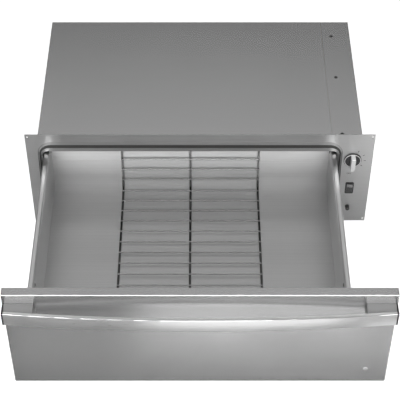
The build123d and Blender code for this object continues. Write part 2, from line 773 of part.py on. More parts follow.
# Side frames: an upright web with a ledge under the pan and a rolled rail along its top.
ledge_bottom = pan_floor - pan_sheet - seat - side_sheet
for hand, out in (("left", -1), ("right", 1)):
    web_outer = cavity_centre + out * web_half
    web_inner = cavity_centre + out * (web_half - side_sheet)
    rail_outer = web_inner + out * rail_width
    with BuildPart() as drawer_side:
        with BuildSketch(facing(pan_back)):
            Polygon(
                (web_inner, rail_top),
                (rail_outer, rail_top),
                (rail_outer, rail_top - rail_return),
                (rail_outer - out * side_sheet, rail_top - rail_return),
                (rail_outer - out * side_sheet, rail_top - side_sheet),
                (web_outer, rail_top - side_sheet),
                (web_outer, ledge_bottom),
                (web_inner - out * ledge_width, ledge_bottom),
                (web_inner - out * ledge_width, ledge_bottom + side_sheet),
                (web_inner, ledge_bottom + side_sheet),
                align=None,
            )
            fillet(vertices().group_by(Axis.Y)[-1], rail_radius)
        extrude(amount=pan_back - pan_front)
        tab_x = sorted((web_inner, web_inner + out * front_tab))
        slab(tab_x[0], tab_x[1], pan_front, pan_front + side_sheet, ledge_bottom, rail_top - side_sheet)
        # rear top corner, cut back to pass under the bevel of the cavity
        with BuildSketch(sideways(cavity_centre - chassis_width)):
            Polygon(
                (pan_back - corner_cut, rail_top + 1),
                (pan_back - corner_cut, rail_top),
                (pan_back, back_rim),
                (pan_back + 1, back_rim),
                (pan_back + 1, rail_top + 1),
                align=None,
            )
        extrude(amount=2 * chassis_width, mode=Mode.SUBTRACT)
        with BuildSketch(sideways(cavity_centre - web_half)):
            with Locations(*[(y, pan_screw_z) for y in pan_screw_rows]):
                Circle(screw_shank / 2 + screw_hole_gap)
        extrude(amount=2 * web_half, mode=Mode.SUBTRACT)
    drawer_side.part.label = f"drawer_side_{hand}"
    export_step(drawer_side.part, f"parts/drawer_side_{hand}.step")

# Screws through the pan walls into the side frames, two on each side.
with BuildPart() as pan_screws:
    for out in (-1, 1):
        pan_face = cavity_centre + out * (pan_half - pan_sheet)
        with BuildSketch(sideways(pan_face)):
            with Locations(*[(y, pan_screw_z) for y in pan_screw_rows]):
                Circle(screw_head / 2)
        extrude(amount=-out * pan_screw_head_height)
        with BuildSketch(sideways(pan_face)):
            with Locations(*[(y, pan_screw_z) for y in pan_screw_rows]):
                Circle(screw_shank / 2)
        extrude(amount=out * (pan_sheet + seat + side_sheet + pan_screw_end))
pan_screws.part.label = "pan_screws"
export_step(pan_screws.part, "parts/pan_screws.step")

# ------------------------------------------------------------------ front panel
panel_bottom = flange_bottom + panel_raise
panel_top = flange_top + panel_overhang
panel_height = panel_top - panel_bottom
panel_middle = (panel_bottom + panel_top) / 2
handle_top = panel_top - handle_drop
handle_bottom = handle_top - handle_height
handle_middle = (handle_top + handle_bottom) / 2
half_bar = flange_width / 2 - handle_inset
block_middle = half_bar - block_width / 2
screw_columns = [s * (block_middle + d * handle_screw_spacing / 2) for s in (-1, 1) for d in (-1, 1)]
with BuildPart() as front_panel:
    with BuildSketch(facing(panel_back)):
        with Locations((0, panel_middle)):
            Rectangle(flange_width, panel_height)
    extrude(amount=panel_thickness)
    fillet(front_panel.edges().filter_by(Axis.Y), panel_edge_radius)
    fillet(front_panel.faces().sort_by(Axis.Y)[0].edges(), panel_edge_radius)
    with BuildSketch(facing(panel_back)):
        with Locations((0, panel_middle)):
            Rectangle(flange_width - 2 * panel_sheet, panel_height - 2 * panel_sheet)
    extrude(amount=panel_thickness - panel_sheet, mode=Mode.SUBTRACT)
    with BuildSketch(facing(panel_back)):
        with Locations((control_x, lamp_z)):
            Circle(pipe_diameter / 2 + hairline)
        with Locations(*[(x, handle_middle) for x in screw_columns]):
            Circle(handle_screw_diameter / 2 + screw_hole_gap)
    extrude(amount=panel_thickness, mode=Mode.SUBTRACT)
front_panel.part.label = "front_panel"
export_step(front_panel.part, "parts/front_panel.step")

# Sheet that closes the back of the panel over the width of the drawer, folded forward beside the controls.
recess_x = cavity_right - recess_inset
tray_left = -flange_width / 2 + panel_sheet + seat
tray_bottom = panel_bottom + panel_sheet + seat
tray_top = panel_top - panel_sheet - seat
tray_front = panel_front + panel_sheet + seat
with BuildPart() as front_inner_panel:
    slab(tray_left, recess_x, panel_back - inner_panel_sheet, panel_back, tray_bottom, tray_top)
    slab(recess_x - inner_panel_sheet, recess_x, tray_front, panel_back, tray_bottom, tray_top)
front_inner_panel.part.label = "front_inner_panel"
export_step(front_inner_panel.part, "parts/front_inner_panel.step")

with BuildPart() as front_insulation:
    slab(tray_left + seat, recess_x - inner_panel_sheet - seat,
         tray_front, panel_back - inner_panel_sheet - seat,
         tray_bottom + seat, handle_bottom - insulation_top_gap)
front_insulation.part.label = "front_insulation"
export_step(front_insulation.part, "parts/front_insulation.step")

# ------------------------------------------------------------------ handle
# A band over the whole width, bowed outwards and crowned, on an end block at each side.
bar_end = panel_front - handle_stand_off
bar_middle = bar_end - handle_bow
bow_radius = (half_bar**2 + handle_bow**2) / (2 * handle_bow)


def bar_back(x):
    """Back of the bar at x: a circle one bar thickness inside the front face."""
    return bar_middle + bow_radius - sqrt((bow_radius - handle_thickness) ** 2 - x**2)


# the section of the bar, turned about the centre of the bow past both ends, which are then cut square
bar_edge = bar_middle + handle_crown
bar_inside = bar_middle + handle_thickness
bow_angle = degrees(flange_width / 2 / bow_radius)
with BuildPart() as handle_bar:
    with BuildSketch(Plane.YZ):
        with BuildLine():
            ThreePointArc((bar_edge, handle_bottom), (bar_middle, handle_middle), (bar_edge, handle_top))
            Polyline(
                (bar_edge, handle_top), (bar_inside, handle_top),
                (bar_inside, handle_bottom), (bar_edge, handle_bottom),
            )
        make_face()
        fillet(vertices().sort_by(Axis.X)[:2], handle_edge_radius)
    revolve(axis=Axis((0, bar_middle + bow_radius, 0), (0, 0, 1)), revolution_arc=bow_angle)
    mirror(about=Plane.YZ)
    slab(-half_bar, half_bar, bar_middle - handle_bow, panel_front, handle_bottom, handle_top,
         mode=Mode.INTERSECT)
handle_bar.part.label = "handle_bar"
export_step(handle_bar.part, "parts/handle_bar.step")

# Solid blocks behind both ends of the bar, tapped for the screws from inside the panel.
block_inner = half_bar - block_width
with BuildPart() as handle_blocks:
    for out in (-1, 1):
        with BuildSketch(Plane.XY.offset(handle_bottom)):
            Polygon(
                (out * block_inner, panel_front - seat),
                (out * half_bar, panel_front - seat),
                (out * half_bar, bar_back(half_bar) + seat),
                (out * block_inner, bar_back(block_inner) + seat),
                align=None,
            )
        extrude(amount=handle_height)
    with BuildSketch(facing(panel_front)):
        with Locations(*[(x, handle_middle) for x in screw_columns]):
            Circle(handle_screw_diameter / 2 + screw_hole_gap)
    extrude(amount=handle_screw_depth, mode=Mode.SUBTRACT)
handle_blocks.part.label = "handle_blocks"
export_step(handle_blocks.part, "parts/handle_blocks.step")

with BuildPart() as handle_end_caps:
    for out in (-1, 1):
        cap_x = half_bar + seat if out > 0 else -half_bar - seat - end_cap_thickness
        with BuildSketch(sideways(cap_x)):
            with Locations(((panel_front - seat + bar_end) / 2, handle_middle)):
                RectangleRounded(handle_stand_off - seat, handle_height, end_cap_radius)
        extrude(amount=end_cap_thickness)
handle_end_caps.part.label = "handle_end_caps"
export_step(handle_end_caps.part, "parts/handle_end_caps.step")

# Screws from inside the panel, two into each end block.
with BuildPart() as handle_screws:
    with BuildSketch(facing(panel_front + panel_sheet + screw_head_height)):
        with Locations(*[(x, handle_middle) for x in screw_columns]):
            Circle(handle_screw_head / 2)
    extrude(amount=screw_head_height)
    with BuildSketch(facing(panel_front + panel_sheet)):
        with Locations(*[(x, handle_middle) for x in screw_columns]):
            Circle(handle_screw_diameter / 2)
    extrude(amount=panel_sheet + handle_screw_depth - handle_screw_spare)
handle_screws.part.label = "handle_screws"
export_step(handle_screws.part, "parts/handle_screws.step")

# ------------------------------------------------------------------ light pipe in the panel
pipe_back = panel_back + closed_gap - lamp_reach - pipe_gap
with BuildPart() as light_pipe:
    with BuildSketch(facing(pipe_back)):
        with Locations((control_x, lamp_z)):
            Circle(pipe_diameter / 2)
    extrude(amount=pipe_back - panel_front + pipe_dome)
    fillet(light_pipe.faces().sort_by(Axis.Y)[0].edges(), pipe_dome)
light_pipe.part.label = "light_pipe"
export_step(light_pipe.part, "parts/light_pipe.step")

with BuildPart() as light_pipe_clip:
    with BuildSketch(facing(panel_front + panel_sheet + clip_thickness)):
        with Locations((control_x, lamp_z)):
            Circle(clip_diameter / 2)
            Circle(pipe_diameter / 2 + hairline, mode=Mode.SUBTRACT)
    extrude(amount=clip_thickness)
light_pipe_clip.part.label = "light_pipe_clip"
export_step(light_pipe_clip.part, "parts/light_pipe_clip.step")

# ------------------------------------------------------------------ temperature control and its knob
body_front = seat
with BuildPart() as temperature_control:
    slab(control_x - control_body_width / 2, control_x + control_body_width / 2, body_front,
         body_front + control_body_depth, knob_z - control_body_height / 2, knob_z + control_body_height / 2)
    with BuildSketch(facing(body_front)):
        with Locations((control_x, knob_z)):
            Circle(bush_diameter / 2)
    extrude(amount=body_front + flange_thickness)
    with BuildSketch(facing(body_front + shaft_depth + shaft_hole_spare)):
        with Locations((control_x, knob_z)):
            Circle(shaft_diameter / 2 + shaft_fit)
    extrude(amount=body_front + shaft_depth + shaft_hole_spare + flange_thickness, mode=Mode.SUBTRACT)
temperature_control.part.label = "temperature_control"
export_step(temperature_control.part, "parts/temperature_control.step")

dial_back = flange_front - dial_gap
dial_front = flange_front - dial_thickness
grip_back = dial_front - hairline
grip_front = flange_front - knob_reach
with BuildPart() as control_shaft:
    with BuildSketch(facing(body_front + shaft_depth)):
        with Locations((control_x, knob_z)):
            Circle(shaft_diameter / 2)
    extrude(amount=body_front + shaft_depth - dial_front - dial_skin - seat)
control_shaft.part.label = "control_shaft"
export_step(control_shaft.part, "parts/control_shaft.step")

# Dial with a black skirt, a bright rim on the skirt, and a bar across it to turn it by.
rim_radius = knob_diameter / 2 - knob_rim_inset
rim_back = dial_back - skirt_thickness
with BuildPart() as knob_dial:
    with BuildSketch(facing(dial_back)):
        with Locations((control_x, knob_z)):
            Circle(knob_diameter / 2)
    extrude(amount=skirt_thickness)
    with BuildSketch(facing(rim_back)):
        with Locations((control_x, knob_z)):
            Circle(rim_radius - knob_rim_width - hairline)
    extrude(amount=rim_back - dial_front)
    with BuildSketch(facing(dial_back)):
        with Locations((control_x, knob_z)):
            Circle(shaft_diameter / 2 + hairline)
    extrude(amount=dial_back - dial_front - dial_skin, mode=Mode.SUBTRACT)
knob_dial.part.label = "knob_dial"
export_step(knob_dial.part, "parts/knob_dial.step")

with BuildPart() as knob_rim:
    with BuildSketch(facing(rim_back - hairline)):
        with Locations((control_x, knob_z)):
            Circle(rim_radius)
            Circle(rim_radius - knob_rim_width, mode=Mode.SUBTRACT)
    extrude(amount=rim_back - hairline - dial_front)
    chamfer(knob_rim.faces().sort_by(Axis.Y)[0].edges(), rim_chamfer)
knob_rim.part.label = "knob_rim"
export_step(knob_rim.part, "parts/knob_rim.step")

with BuildPart() as knob_grip:
    with BuildSketch(facing(grip_back)):
        with Locations((control_x, knob_z)):
            RectangleRounded(grip_width, grip_length, grip_end_radius)
    extrude(amount=grip_back - grip_front)
    fillet(knob_grip.faces().sort_by(Axis.Y)[0].edges(), grip_edge_radius)
knob_grip.part.label = "knob_grip"
export_step(knob_grip.part, "parts/knob_grip.step")

# ------------------------------------------------------------------ rocker switch
# Housing: a thin frame on the flange and a box behind it, open at the front for the rocker.
switch_box_width = switch_width - 2 * switch_bezel - 2 * screw_hole_gap
switch_box_height = switch_height - 2 * switch_bezel - 2 * screw_hole_gap
rocker_well_width = switch_box_width - 2 * switch_wall
rocker_well_height = switch_box_height - 2 * switch_wall
rocker_width = rocker_well_width - 2 * running_gap
rocker_height = rocker_well_height - 2 * rocker_end_gap
with BuildPart() as switch_housing:
    with BuildSketch(facing(flange_front)):
        with Locations((control_x, switch_z)):
            RectangleRounded(switch_width, switch_height, switch_corner)
    extrude(amount=switch_frame)
    with BuildSketch(facing(switch_body_depth)):
        with Locations((control_x, switch_z)):
            Rectangle(switch_box_width, switch_box_height)
    extrude(amount=switch_body_depth - flange_front)
    with BuildSketch(facing(rocker_well_depth)):
        with Locations((control_x, switch_z)):
            Rectangle(rocker_well_width, rocker_well_height)
    extrude(amount=rocker_well_depth - flange_front + switch_frame, mode=Mode.SUBTRACT)
    with BuildSketch(sideways(control_x - switch_box_width / 2)):
        with Locations((rocker_pivot_y, switch_z)):
            Circle(rocker_pin / 2 + shaft_fit)
    extrude(amount=switch_box_width, mode=Mode.SUBTRACT)
switch_housing.part.label = "switch_housing"
export_step(switch_housing.part, "parts/switch_housing.step")

# Rocker: two faces that meet in a shallow ridge, on a pin through the walls of the housing.
rocker_top = switch_z + rocker_height / 2
rocker_base = switch_z - rocker_height / 2
frame_front = flange_front - switch_frame
with BuildPart() as switch_rocker:
    with BuildSketch(sideways(control_x - rocker_width / 2)):
        Polygon(
            (rocker_pivot_y + rocker_keel, switch_z),
            (flange_front, rocker_base + running_gap),
            (frame_front - rocker_sunk, rocker_base),
            (frame_front - rocker_rise, switch_z + rocker_ridge),
            (frame_front - rocker_proud, rocker_top - running_gap),
            (flange_front, rocker_top - 3 * running_gap),
            align=None,
        )
    extrude(amount=rocker_width)
    with BuildSketch(sideways(control_x - switch_box_width / 2)):
        with Locations((rocker_pivot_y, switch_z)):
            Circle(rocker_pin / 2)
    extrude(amount=switch_box_width)
switch_rocker.part.label = "switch_rocker"
export_step(switch_rocker.part, "parts/switch_rocker.step")

# ------------------------------------------------------------------ signal lamp
lamp_front = flange_front - lamp_reach
lens_back = lamp_front + lens_length
with BuildPart() as signal_lamp:
    with BuildSketch(facing(flange_front)):
        with Locations((control_x, lamp_z)):
            Circle(lamp_diameter / 2)
    extrude(amount=flange_front - lens_back)
    with BuildSketch(facing(lamp_body_length)):
        with Locations((control_x, lamp_z)):
            Circle(lamp_neck / 2)
    extrude(amount=lamp_body_length - flange_front)
signal_lamp.part.label = "signal_lamp"
export_step(signal_lamp.part, "parts/signal_lamp.step")

with BuildPart() as signal_lens:
    with BuildSketch(facing(lens_back - hairline)):
        with Locations((control_x, lamp_z)):
            Circle(lamp_diameter / 2)
    extrude(amount=lens_back - hairline - lamp_front)
    fillet(signal_lens.faces().sort_by(Axis.Y)[0].edges(), lens_radius)
signal_lens.part.label = "signal_lens"
export_step(signal_lens.part, "parts/signal_lens.step")

# ------------------------------------------------------------------ temperature probe
# Bulb along the cavity wall under the slide, and its thin tube through the wall to the temperature control.
bulb_x = cavity_right - seat - probe_diameter / 2
capillary_end = body_front + control_body_depth
with BuildPart() as temperature_probe:
    with BuildSketch(facing(probe_exit + capillary_radius + probe_length)):
        with Locations((bulb_x, probe_z)):
            Circle(probe_diameter / 2)
    extrude(amount=probe_length)
    with BuildLine() as capillary_path:
        FilletPolyline(
            (bulb_x, probe_exit + capillary_radius + capillary_tight_radius, probe_z),
            (bulb_x, probe_exit, probe_z),
            (control_x, probe_exit, probe_z),
            (control_x, probe_exit - capillary_rise, knob_z),
            (control_x, capillary_end, knob_z),
            radius=[capillary_tight_radius, capillary_radius, capillary_radius],
        )
    with BuildSketch(Plane(origin=capillary_path.line @ 0, z_dir=capillary_path.line % 0)):
        Circle(capillary_diameter / 2)
    sweep()
temperature_probe.part.label = "temperature_probe"
export_step(temperature_probe.part, "parts/temperature_probe.step")

# ------------------------------------------------------------------ thermal cut-out and wiring
cutout_face = divider_x + divider_sheet + seat
cutout_z = chassis_top_z - cutout_drop
with BuildPart() as thermal_cutout:
    with BuildSketch(sideways(cutout_face)):
        with Locations((cutout_y, cutout_z)):
            Circle(cutout_diameter / 2)
            Rectangle(cutout_bracket_length, cutout_diameter / 2)
    extrude(amount=bracket_sheet)
    with BuildSketch(sideways(cutout_face)):
        with Locations((cutout_y, cutout_z)):
            Circle(cutout_diameter / 2 - cutout_edge)
    extrude(amount=cutout_height)
thermal_cutout.part.label = "thermal_cutout"
export_step(thermal_cutout.part, "parts/thermal_cutout.step")

# Ceramic block on the chassis bottom: a foot, a body and two rows of screw wells.
block_low = side_low + seat
with BuildPart() as terminal_block:
    with Locations((gland_x, terminal_y, block_low)):
        Box(terminal_width, terminal_length, terminal_foot, align=(Align.CENTER, Align.CENTER, Align.MIN))
        Box(terminal_width - 2 * terminal_step, terminal_length - terminal_step, terminal_height,
            align=(Align.CENTER, Align.CENTER, Align.MIN))
    with BuildSketch(Plane.XY.offset(block_low + terminal_height)):
        with Locations((gland_x, terminal_y)):
            with GridLocations(*terminal_pitch, *terminal_rows):
                Circle(terminal_well / 2)
    extrude(amount=-terminal_well_depth, mode=Mode.SUBTRACT)
terminal_block.part.label = "terminal_block"
export_step(terminal_block.part, "parts/terminal_block.step")

# Sheet box inside the rear end of the control bay, where the supply cable is joined.
box_back = chassis_depth - skin
with BuildPart() as junction_box:
    with BuildSketch(facing(box_back)):
        with Locations((gland_x, gland_z)):
            Rectangle(junction_width, junction_height)
    extrude(amount=junction_depth)
    with BuildSketch(facing(box_back)):
        with Locations((gland_x, gland_z)):
            Rectangle(junction_width - 2 * skin, junction_height - 2 * skin)
    extrude(amount=junction_depth - skin, mode=Mode.SUBTRACT)
junction_box.part.label = "junction_box"
export_step(junction_box.part, "parts/junction_box.step")

# Cable gland through the rear panel, with a collar inside the box.
gland_inner = box_back - seat
gland_end = chassis_depth + gland_reach
with BuildPart() as cable_gland:
    with BuildSketch(facing(gland_inner)):
        with Locations((gland_x, gland_z)):
            Circle(gland_diameter / 2 + gland_flange)
    extrude(amount=gland_flange)
    with BuildSketch(facing(gland_end)):
        with Locations((gland_x, gland_z)):
            Circle(gland_diameter / 2)
    extrude(amount=gland_end - gland_inner)
    with BuildSketch(facing(gland_end)):
        with Locations((gland_x, gland_z)):
            Circle(cable_bore / 2)
    extrude(amount=gland_end - gland_inner + gland_flange, mode=Mode.SUBTRACT)
cable_gland.part.label = "cable_gland"
export_step(cable_gland.part, "parts/cable_gland.step")

# Bundle of wires from the box along the bay to the switch.
with BuildPart() as wiring_harness:
    with BuildLine() as harness_path:
        FilletPolyline(
            (gland_x, box_back - junction_depth - seat, gland_z),
            (gland_x, harness_rear + harness_radius, gland_z),
            (gland_x + harness_side, harness_rear, gland_z - harness_sag),
            (gland_x + harness_side, harness_front, gland_z - harness_sag),
            (control_x, harness_lead, switch_z),
            (control_x, switch_body_depth + seat, switch_z),
            radius=harness_radius,
        )
    with BuildSketch(Plane(origin=harness_path.line @ 0, z_dir=harness_path.line % 0)):
        Circle(harness_diameter / 2)
    sweep()
wiring_harness.part.label = "wiring_harness"
export_step(wiring_harness.part, "parts/wiring_harness.step")

# ------------------------------------------------------------------ screws and bumpers
# Screws that hold the control cover down on the folded edge of the divider.
with BuildPart() as cover_screws:
    with BuildSketch(Plane.XY.offset(chassis_top_z)):
        with Locations(*[(screw_x, y) for y in cover_screw_rows]):
            Circle(screw_head / 2)
    extrude(amount=screw_head_height)
    with BuildSketch(Plane.XY.offset(side_high - cover_screw_length)):
        with Locations(*[(screw_x, y) for y in cover_screw_rows]):
            Circle(screw_shank / 2)
    extrude(amount=cover_screw_length + skin)
cover_screws.part.label = "cover_screws"
export_step(cover_screws.part, "parts/cover_screws.step")

# Rubber bumpers low on the back of the panel, one on each side, that meet the flange when it is shut.
with BuildPart() as closing_bumpers:
    with BuildSketch(facing(panel_back)):
        with Locations(*[(x, flange_bottom + bumper_rise)
                         for x in (bumper_inset - flange_width / 2, recess_x - bumper_inset)]):
            Circle(bumper_diameter / 2)
    extrude(amount=bumper_gap - closed_gap)
closing_bumpers.part.label = "closing_bumpers"
export_step(closing_bumpers.part, "parts/closing_bumpers.step")

# ------------------------------------------------------------------ wire rack
# Three long wires on the pan floor, turned up against the back wall, with cross wires welded over them.
rack_left = cavity_centre - rack_width / 2
rack_columns = [rack_left + i * rack_width / 2 for i in range(3)]
rack_front = pan_front + pan_sheet + rack_front_gap
rack_back = pan_back - pan_sheet - rack_rear_gap - long_wire / 2
long_z = rack_floor + long_wire / 2
rack_rise = rail_top - rack_drop - long_z
turn_radius = cove_radius - rack_rear_gap
with BuildPart() as rack_long_wires:
    for x in rack_columns:
        with BuildLine() as long_path:
            FilletPolyline(
                (x, rack_front, long_z),
                (x, rack_back, long_z),
                (x, rack_back, long_z + rack_rise),
                radius=turn_radius,
            )
        with BuildSketch(Plane(origin=long_path.line @ 0, z_dir=long_path.line % 0)):
            Circle(long_wire / 2)
        sweep()
rack_long_wires.part.label = "rack_long_wires"
export_step(rack_long_wires.part, "parts/rack_long_wires.step")

# Cross wires at one pitch along the long wires: down the upright end, round the bend and along the floor.
cross_offset = long_wire / 2 + cross_wire / 2 - wire_sink
upright_length = rack_rise - turn_radius
bend_length = turn_radius * pi / 2
flat_back = rack_back - turn_radius
bend_z = long_z + turn_radius
wire_length = upright_length + bend_length + flat_back - rack_front
cross_count = int((wire_length - cross_wire - cross_inset) // cross_pitch) + 1
cross_places = []
for i in range(cross_count):
    along = cross_inset + i * cross_pitch
    if along < upright_length:
        cross_places.append((rack_back - cross_offset, bend_z + upright_length - along))
    elif along < upright_length + bend_length:
        turned = (along - upright_length) / turn_radius
        reach = turn_radius - cross_offset
        cross_places.append((flat_back + reach * cos(turned), bend_z - reach * sin(turned)))
    else:
        cross_places.append((flat_back - (along - upright_length - bend_length), long_z + cross_offset))
with BuildPart() as rack_cross_wires:
    with BuildSketch(sideways(rack_left - long_wire / 2)):
        with Locations(*cross_places):
            Circle(cross_wire / 2)
    extrude(amount=rack_width + long_wire)
rack_cross_wires.part.label = "rack_cross_wires"
export_step(rack_cross_wires.part, "parts/rack_cross_wires.step")
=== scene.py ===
from math import cos, pi, radians, sin

import bmesh
import bpy
from mathutils import Matrix, Vector


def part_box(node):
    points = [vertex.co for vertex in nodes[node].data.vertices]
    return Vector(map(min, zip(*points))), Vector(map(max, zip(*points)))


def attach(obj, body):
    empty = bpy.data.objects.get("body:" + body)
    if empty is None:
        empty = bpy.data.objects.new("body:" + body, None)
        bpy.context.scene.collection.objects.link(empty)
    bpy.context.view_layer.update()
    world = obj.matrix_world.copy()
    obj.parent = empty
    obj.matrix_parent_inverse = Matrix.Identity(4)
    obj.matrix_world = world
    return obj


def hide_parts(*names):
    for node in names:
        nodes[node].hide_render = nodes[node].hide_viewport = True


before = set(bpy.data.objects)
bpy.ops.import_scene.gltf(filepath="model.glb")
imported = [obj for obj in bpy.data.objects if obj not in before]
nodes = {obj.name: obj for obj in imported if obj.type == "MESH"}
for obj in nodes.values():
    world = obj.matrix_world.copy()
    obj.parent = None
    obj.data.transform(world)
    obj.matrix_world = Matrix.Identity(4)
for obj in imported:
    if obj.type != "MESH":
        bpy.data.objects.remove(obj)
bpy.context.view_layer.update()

# ---------------------------------------------------------------- studio
# The drawer hangs at the height of a cabinet under a worktop, above a pale floor. Walls stand bright at
# both sides and dark behind, under a pale slope. Three wide lamps stand in front. A dark card with four small
# lamps lies low in front, for the upright steel to mirror. The camera doesn't see it and it casts no shadow.
world = bpy.data.worlds.new("studio_walls")
bpy.context.scene.world = world
world.use_nodes = True
wn, wl = world.node_tree.nodes, world.node_tree.links
wn.clear()
direction = wn.new("ShaderNodeTexCoord")
split = wn.new("ShaderNodeSeparateXYZ")
wl.new(direction.outputs["Generated"], split.inputs[0])


def wall(*levels):
    """Brightness of a wall by height: 0 at the horizon, 1 straight up."""
    ramp = wn.new("ShaderNodeValToRGB")
    stops = ramp.color_ramp.elements
    for place, level in levels[1:-1]:
        stops.new(place)
    for stop, (place, level) in zip(stops, levels):
        stop.position, stop.color = place, (level, level, level, 1)
    wl.new(split.outputs["Z"], ramp.inputs["Fac"])
    return ramp.outputs["Color"]


def turned_to(source, start, end, first, second):
    """Passes from the first wall to the second as the direction turns."""
    share = wn.new("ShaderNodeMapRange")
    share.inputs["From Min"].default_value, share.inputs["From Max"].default_value = start, end
    wl.new(source, share.inputs["Value"])
    mix = wn.new("ShaderNodeMix")
    mix.data_type = "RGBA"
    wl.new(share.outputs["Result"], mix.inputs["Factor"])
    wl.new(first, mix.inputs["A"])
    wl.new(second, mix.inputs["B"])
    return mix.outputs["Result"]


bearing = wn.new("ShaderNodeMath")
bearing.operation = "ARCTAN2"
wl.new(split.outputs["X"], bearing.inputs[0])
wl.new(split.outputs["Y"], bearing.inputs[1])
off_back = wn.new("ShaderNodeMath")
off_back.operation = "ABSOLUTE"
wl.new(bearing.outputs[0], off_back.inputs[0])
behind = wall((0.0, 0.0), (0.63, 0.0), (0.68, 0.5), (0.70, 1.5), (0.725, 0.8), (0.745, 0.28), (0.86, 0.28),
              (0.90, 1.5), (0.955, 1.5), (0.97, 0.0))
beside = wall((0.0, 1.1), (0.93, 1.1), (0.96, 0.0))
front = wall((0.0, 0.03), (0.96, 0.0))
walls = turned_to(off_back.outputs[0], radians(50), radians(60), behind, beside)
walls = turned_to(off_back.outputs[0], radians(85), radians(95), walls, front)
sky = wn.new("ShaderNodeBackground")
wl.new(walls, sky.inputs["Color"])
world_out = wn.new("ShaderNodeOutputWorld")
wl.new(sky.outputs[0], world_out.inputs["Surface"])


def lamp(name, place, target, width, depth, power):
    data = bpy.data.lights.new(name, "AREA")
    data.shape = "RECTANGLE"
    data.size, data.size_y, data.energy = width, depth, power
    holder = bpy.data.objects.new(name, data)
    holder.location = place
    holder.rotation_euler = (Vector(target) - Vector(place)).to_track_quat("-Z", "Y").to_euler()
    bpy.context.scene.collection.objects.link(holder)


lamp("high_softbox", (0, -2.6, 3.1), (0, 0, 0), 4.4, 0.7, 30)
lamp("level_softbox", (0, -4.0, 0.75), (0, 0, 0), 4.6, 1.4, 200)
lamp("middle_softbox", (0, -3.5, 1.85), (0, 0, 0), 4.2, 0.9, 26)
lamp("low_strip", (0.18, -1.62, -0.86), (0.18, -1.62, 0), 0.75, 0.35, 2.3)
lamp("near_strip", (0, -1.17, -0.86), (0, -1.17, 0), 1.1, 0.15, 0.42)
lamp("left_strip", (-0.8, -0.72, -0.86), (-0.8, -0.72, 0), 0.5, 0.15, 0.65)
lamp("right_strip", (0.8, -1.02, -0.86), (0.8, -1.02, 0), 0.5, 0.15, 0.9)


def sheet_below(name, left, right, near, far, height):
    mesh = bpy.data.meshes.new(name)
    corners = [(left, near, height), (right, near, height), (right, far, height), (left, far, height)]
    mesh.from_pydata(corners, [], [(0, 1, 2, 3)])
    piece = bpy.data.objects.new(name, mesh)
    bpy.context.scene.collection.objects.link(piece)
    paint = bpy.data.materials.new(name + "_paint")
    paint.use_nodes = True
    mesh.materials.append(paint)
    return paint.node_tree.nodes, paint.node_tree.links


cn, _ = sheet_below("dark_card", -1.5, 1.5, -2.6, -0.3, -0.88)
cn["Principled BSDF"].inputs["Base Color"].default_value = (0.02, 0.02, 0.02, 1)
cn["Principled BSDF"].inputs["Roughness"].default_value = 0.9
card = bpy.data.objects["dark_card"]
card.visible_camera = card.visible_shadow = False
fn, fl = sheet_below("studio_floor", -9, 9, -9, 9, -0.9)
fn["Principled BSDF"].inputs["Base Color"].default_value = (0.92, 0.92, 0.92, 1)
fn["Principled BSDF"].inputs["Roughness"].default_value = 0.9
fn["Principled BSDF"].inputs["Specular IOR Level"].default_value = 0.0
glow_in_metal, glow_to_camera = 0.1, 0.6
ray = fn.new("ShaderNodeLightPath")
mirrored = fn.new("ShaderNodeMath")
mirrored.operation = "MAXIMUM"
fl.new(ray.outputs["Is Glossy Ray"], mirrored.inputs[0])
fl.new(ray.outputs["Is Transmission Ray"], mirrored.inputs[1])
in_metal = fn.new("ShaderNodeMath")
in_metal.operation = "MULTIPLY"
in_metal.inputs[1].default_value = glow_in_metal
fl.new(mirrored.outputs[0], in_metal.inputs[0])
lifted = fn.new("ShaderNodeMath")
lifted.operation = "MULTIPLY_ADD"
lifted.inputs[1].default_value = glow_to_camera
fl.new(ray.outputs["Is Camera Ray"], lifted.inputs[0])
fl.new(in_metal.outputs[0], lifted.inputs[2])
fn["Principled BSDF"].inputs["Emission Color"].default_value = (1, 1, 1, 1)
fl.new(lifted.outputs[0], fn["Principled BSDF"].inputs["Emission Strength"])

sensor, focal_pixels, picture_pixels, below_level = 36.0, 1262, 417, 45.98
camera_data = bpy.data.cameras.new("camera")
camera_data.sensor_width = sensor
camera_data.lens = sensor * focal_pixels / picture_pixels
camera = bpy.data.objects.new("camera", camera_data)
camera.location = (0, -1.9985, 1.9725)
camera.rotation_euler = (radians(90 - below_level), 0, 0)
bpy.context.scene.collection.objects.link(camera)
bpy.context.scene.camera = camera
bpy.context.scene.view_settings.view_transform = "Standard"


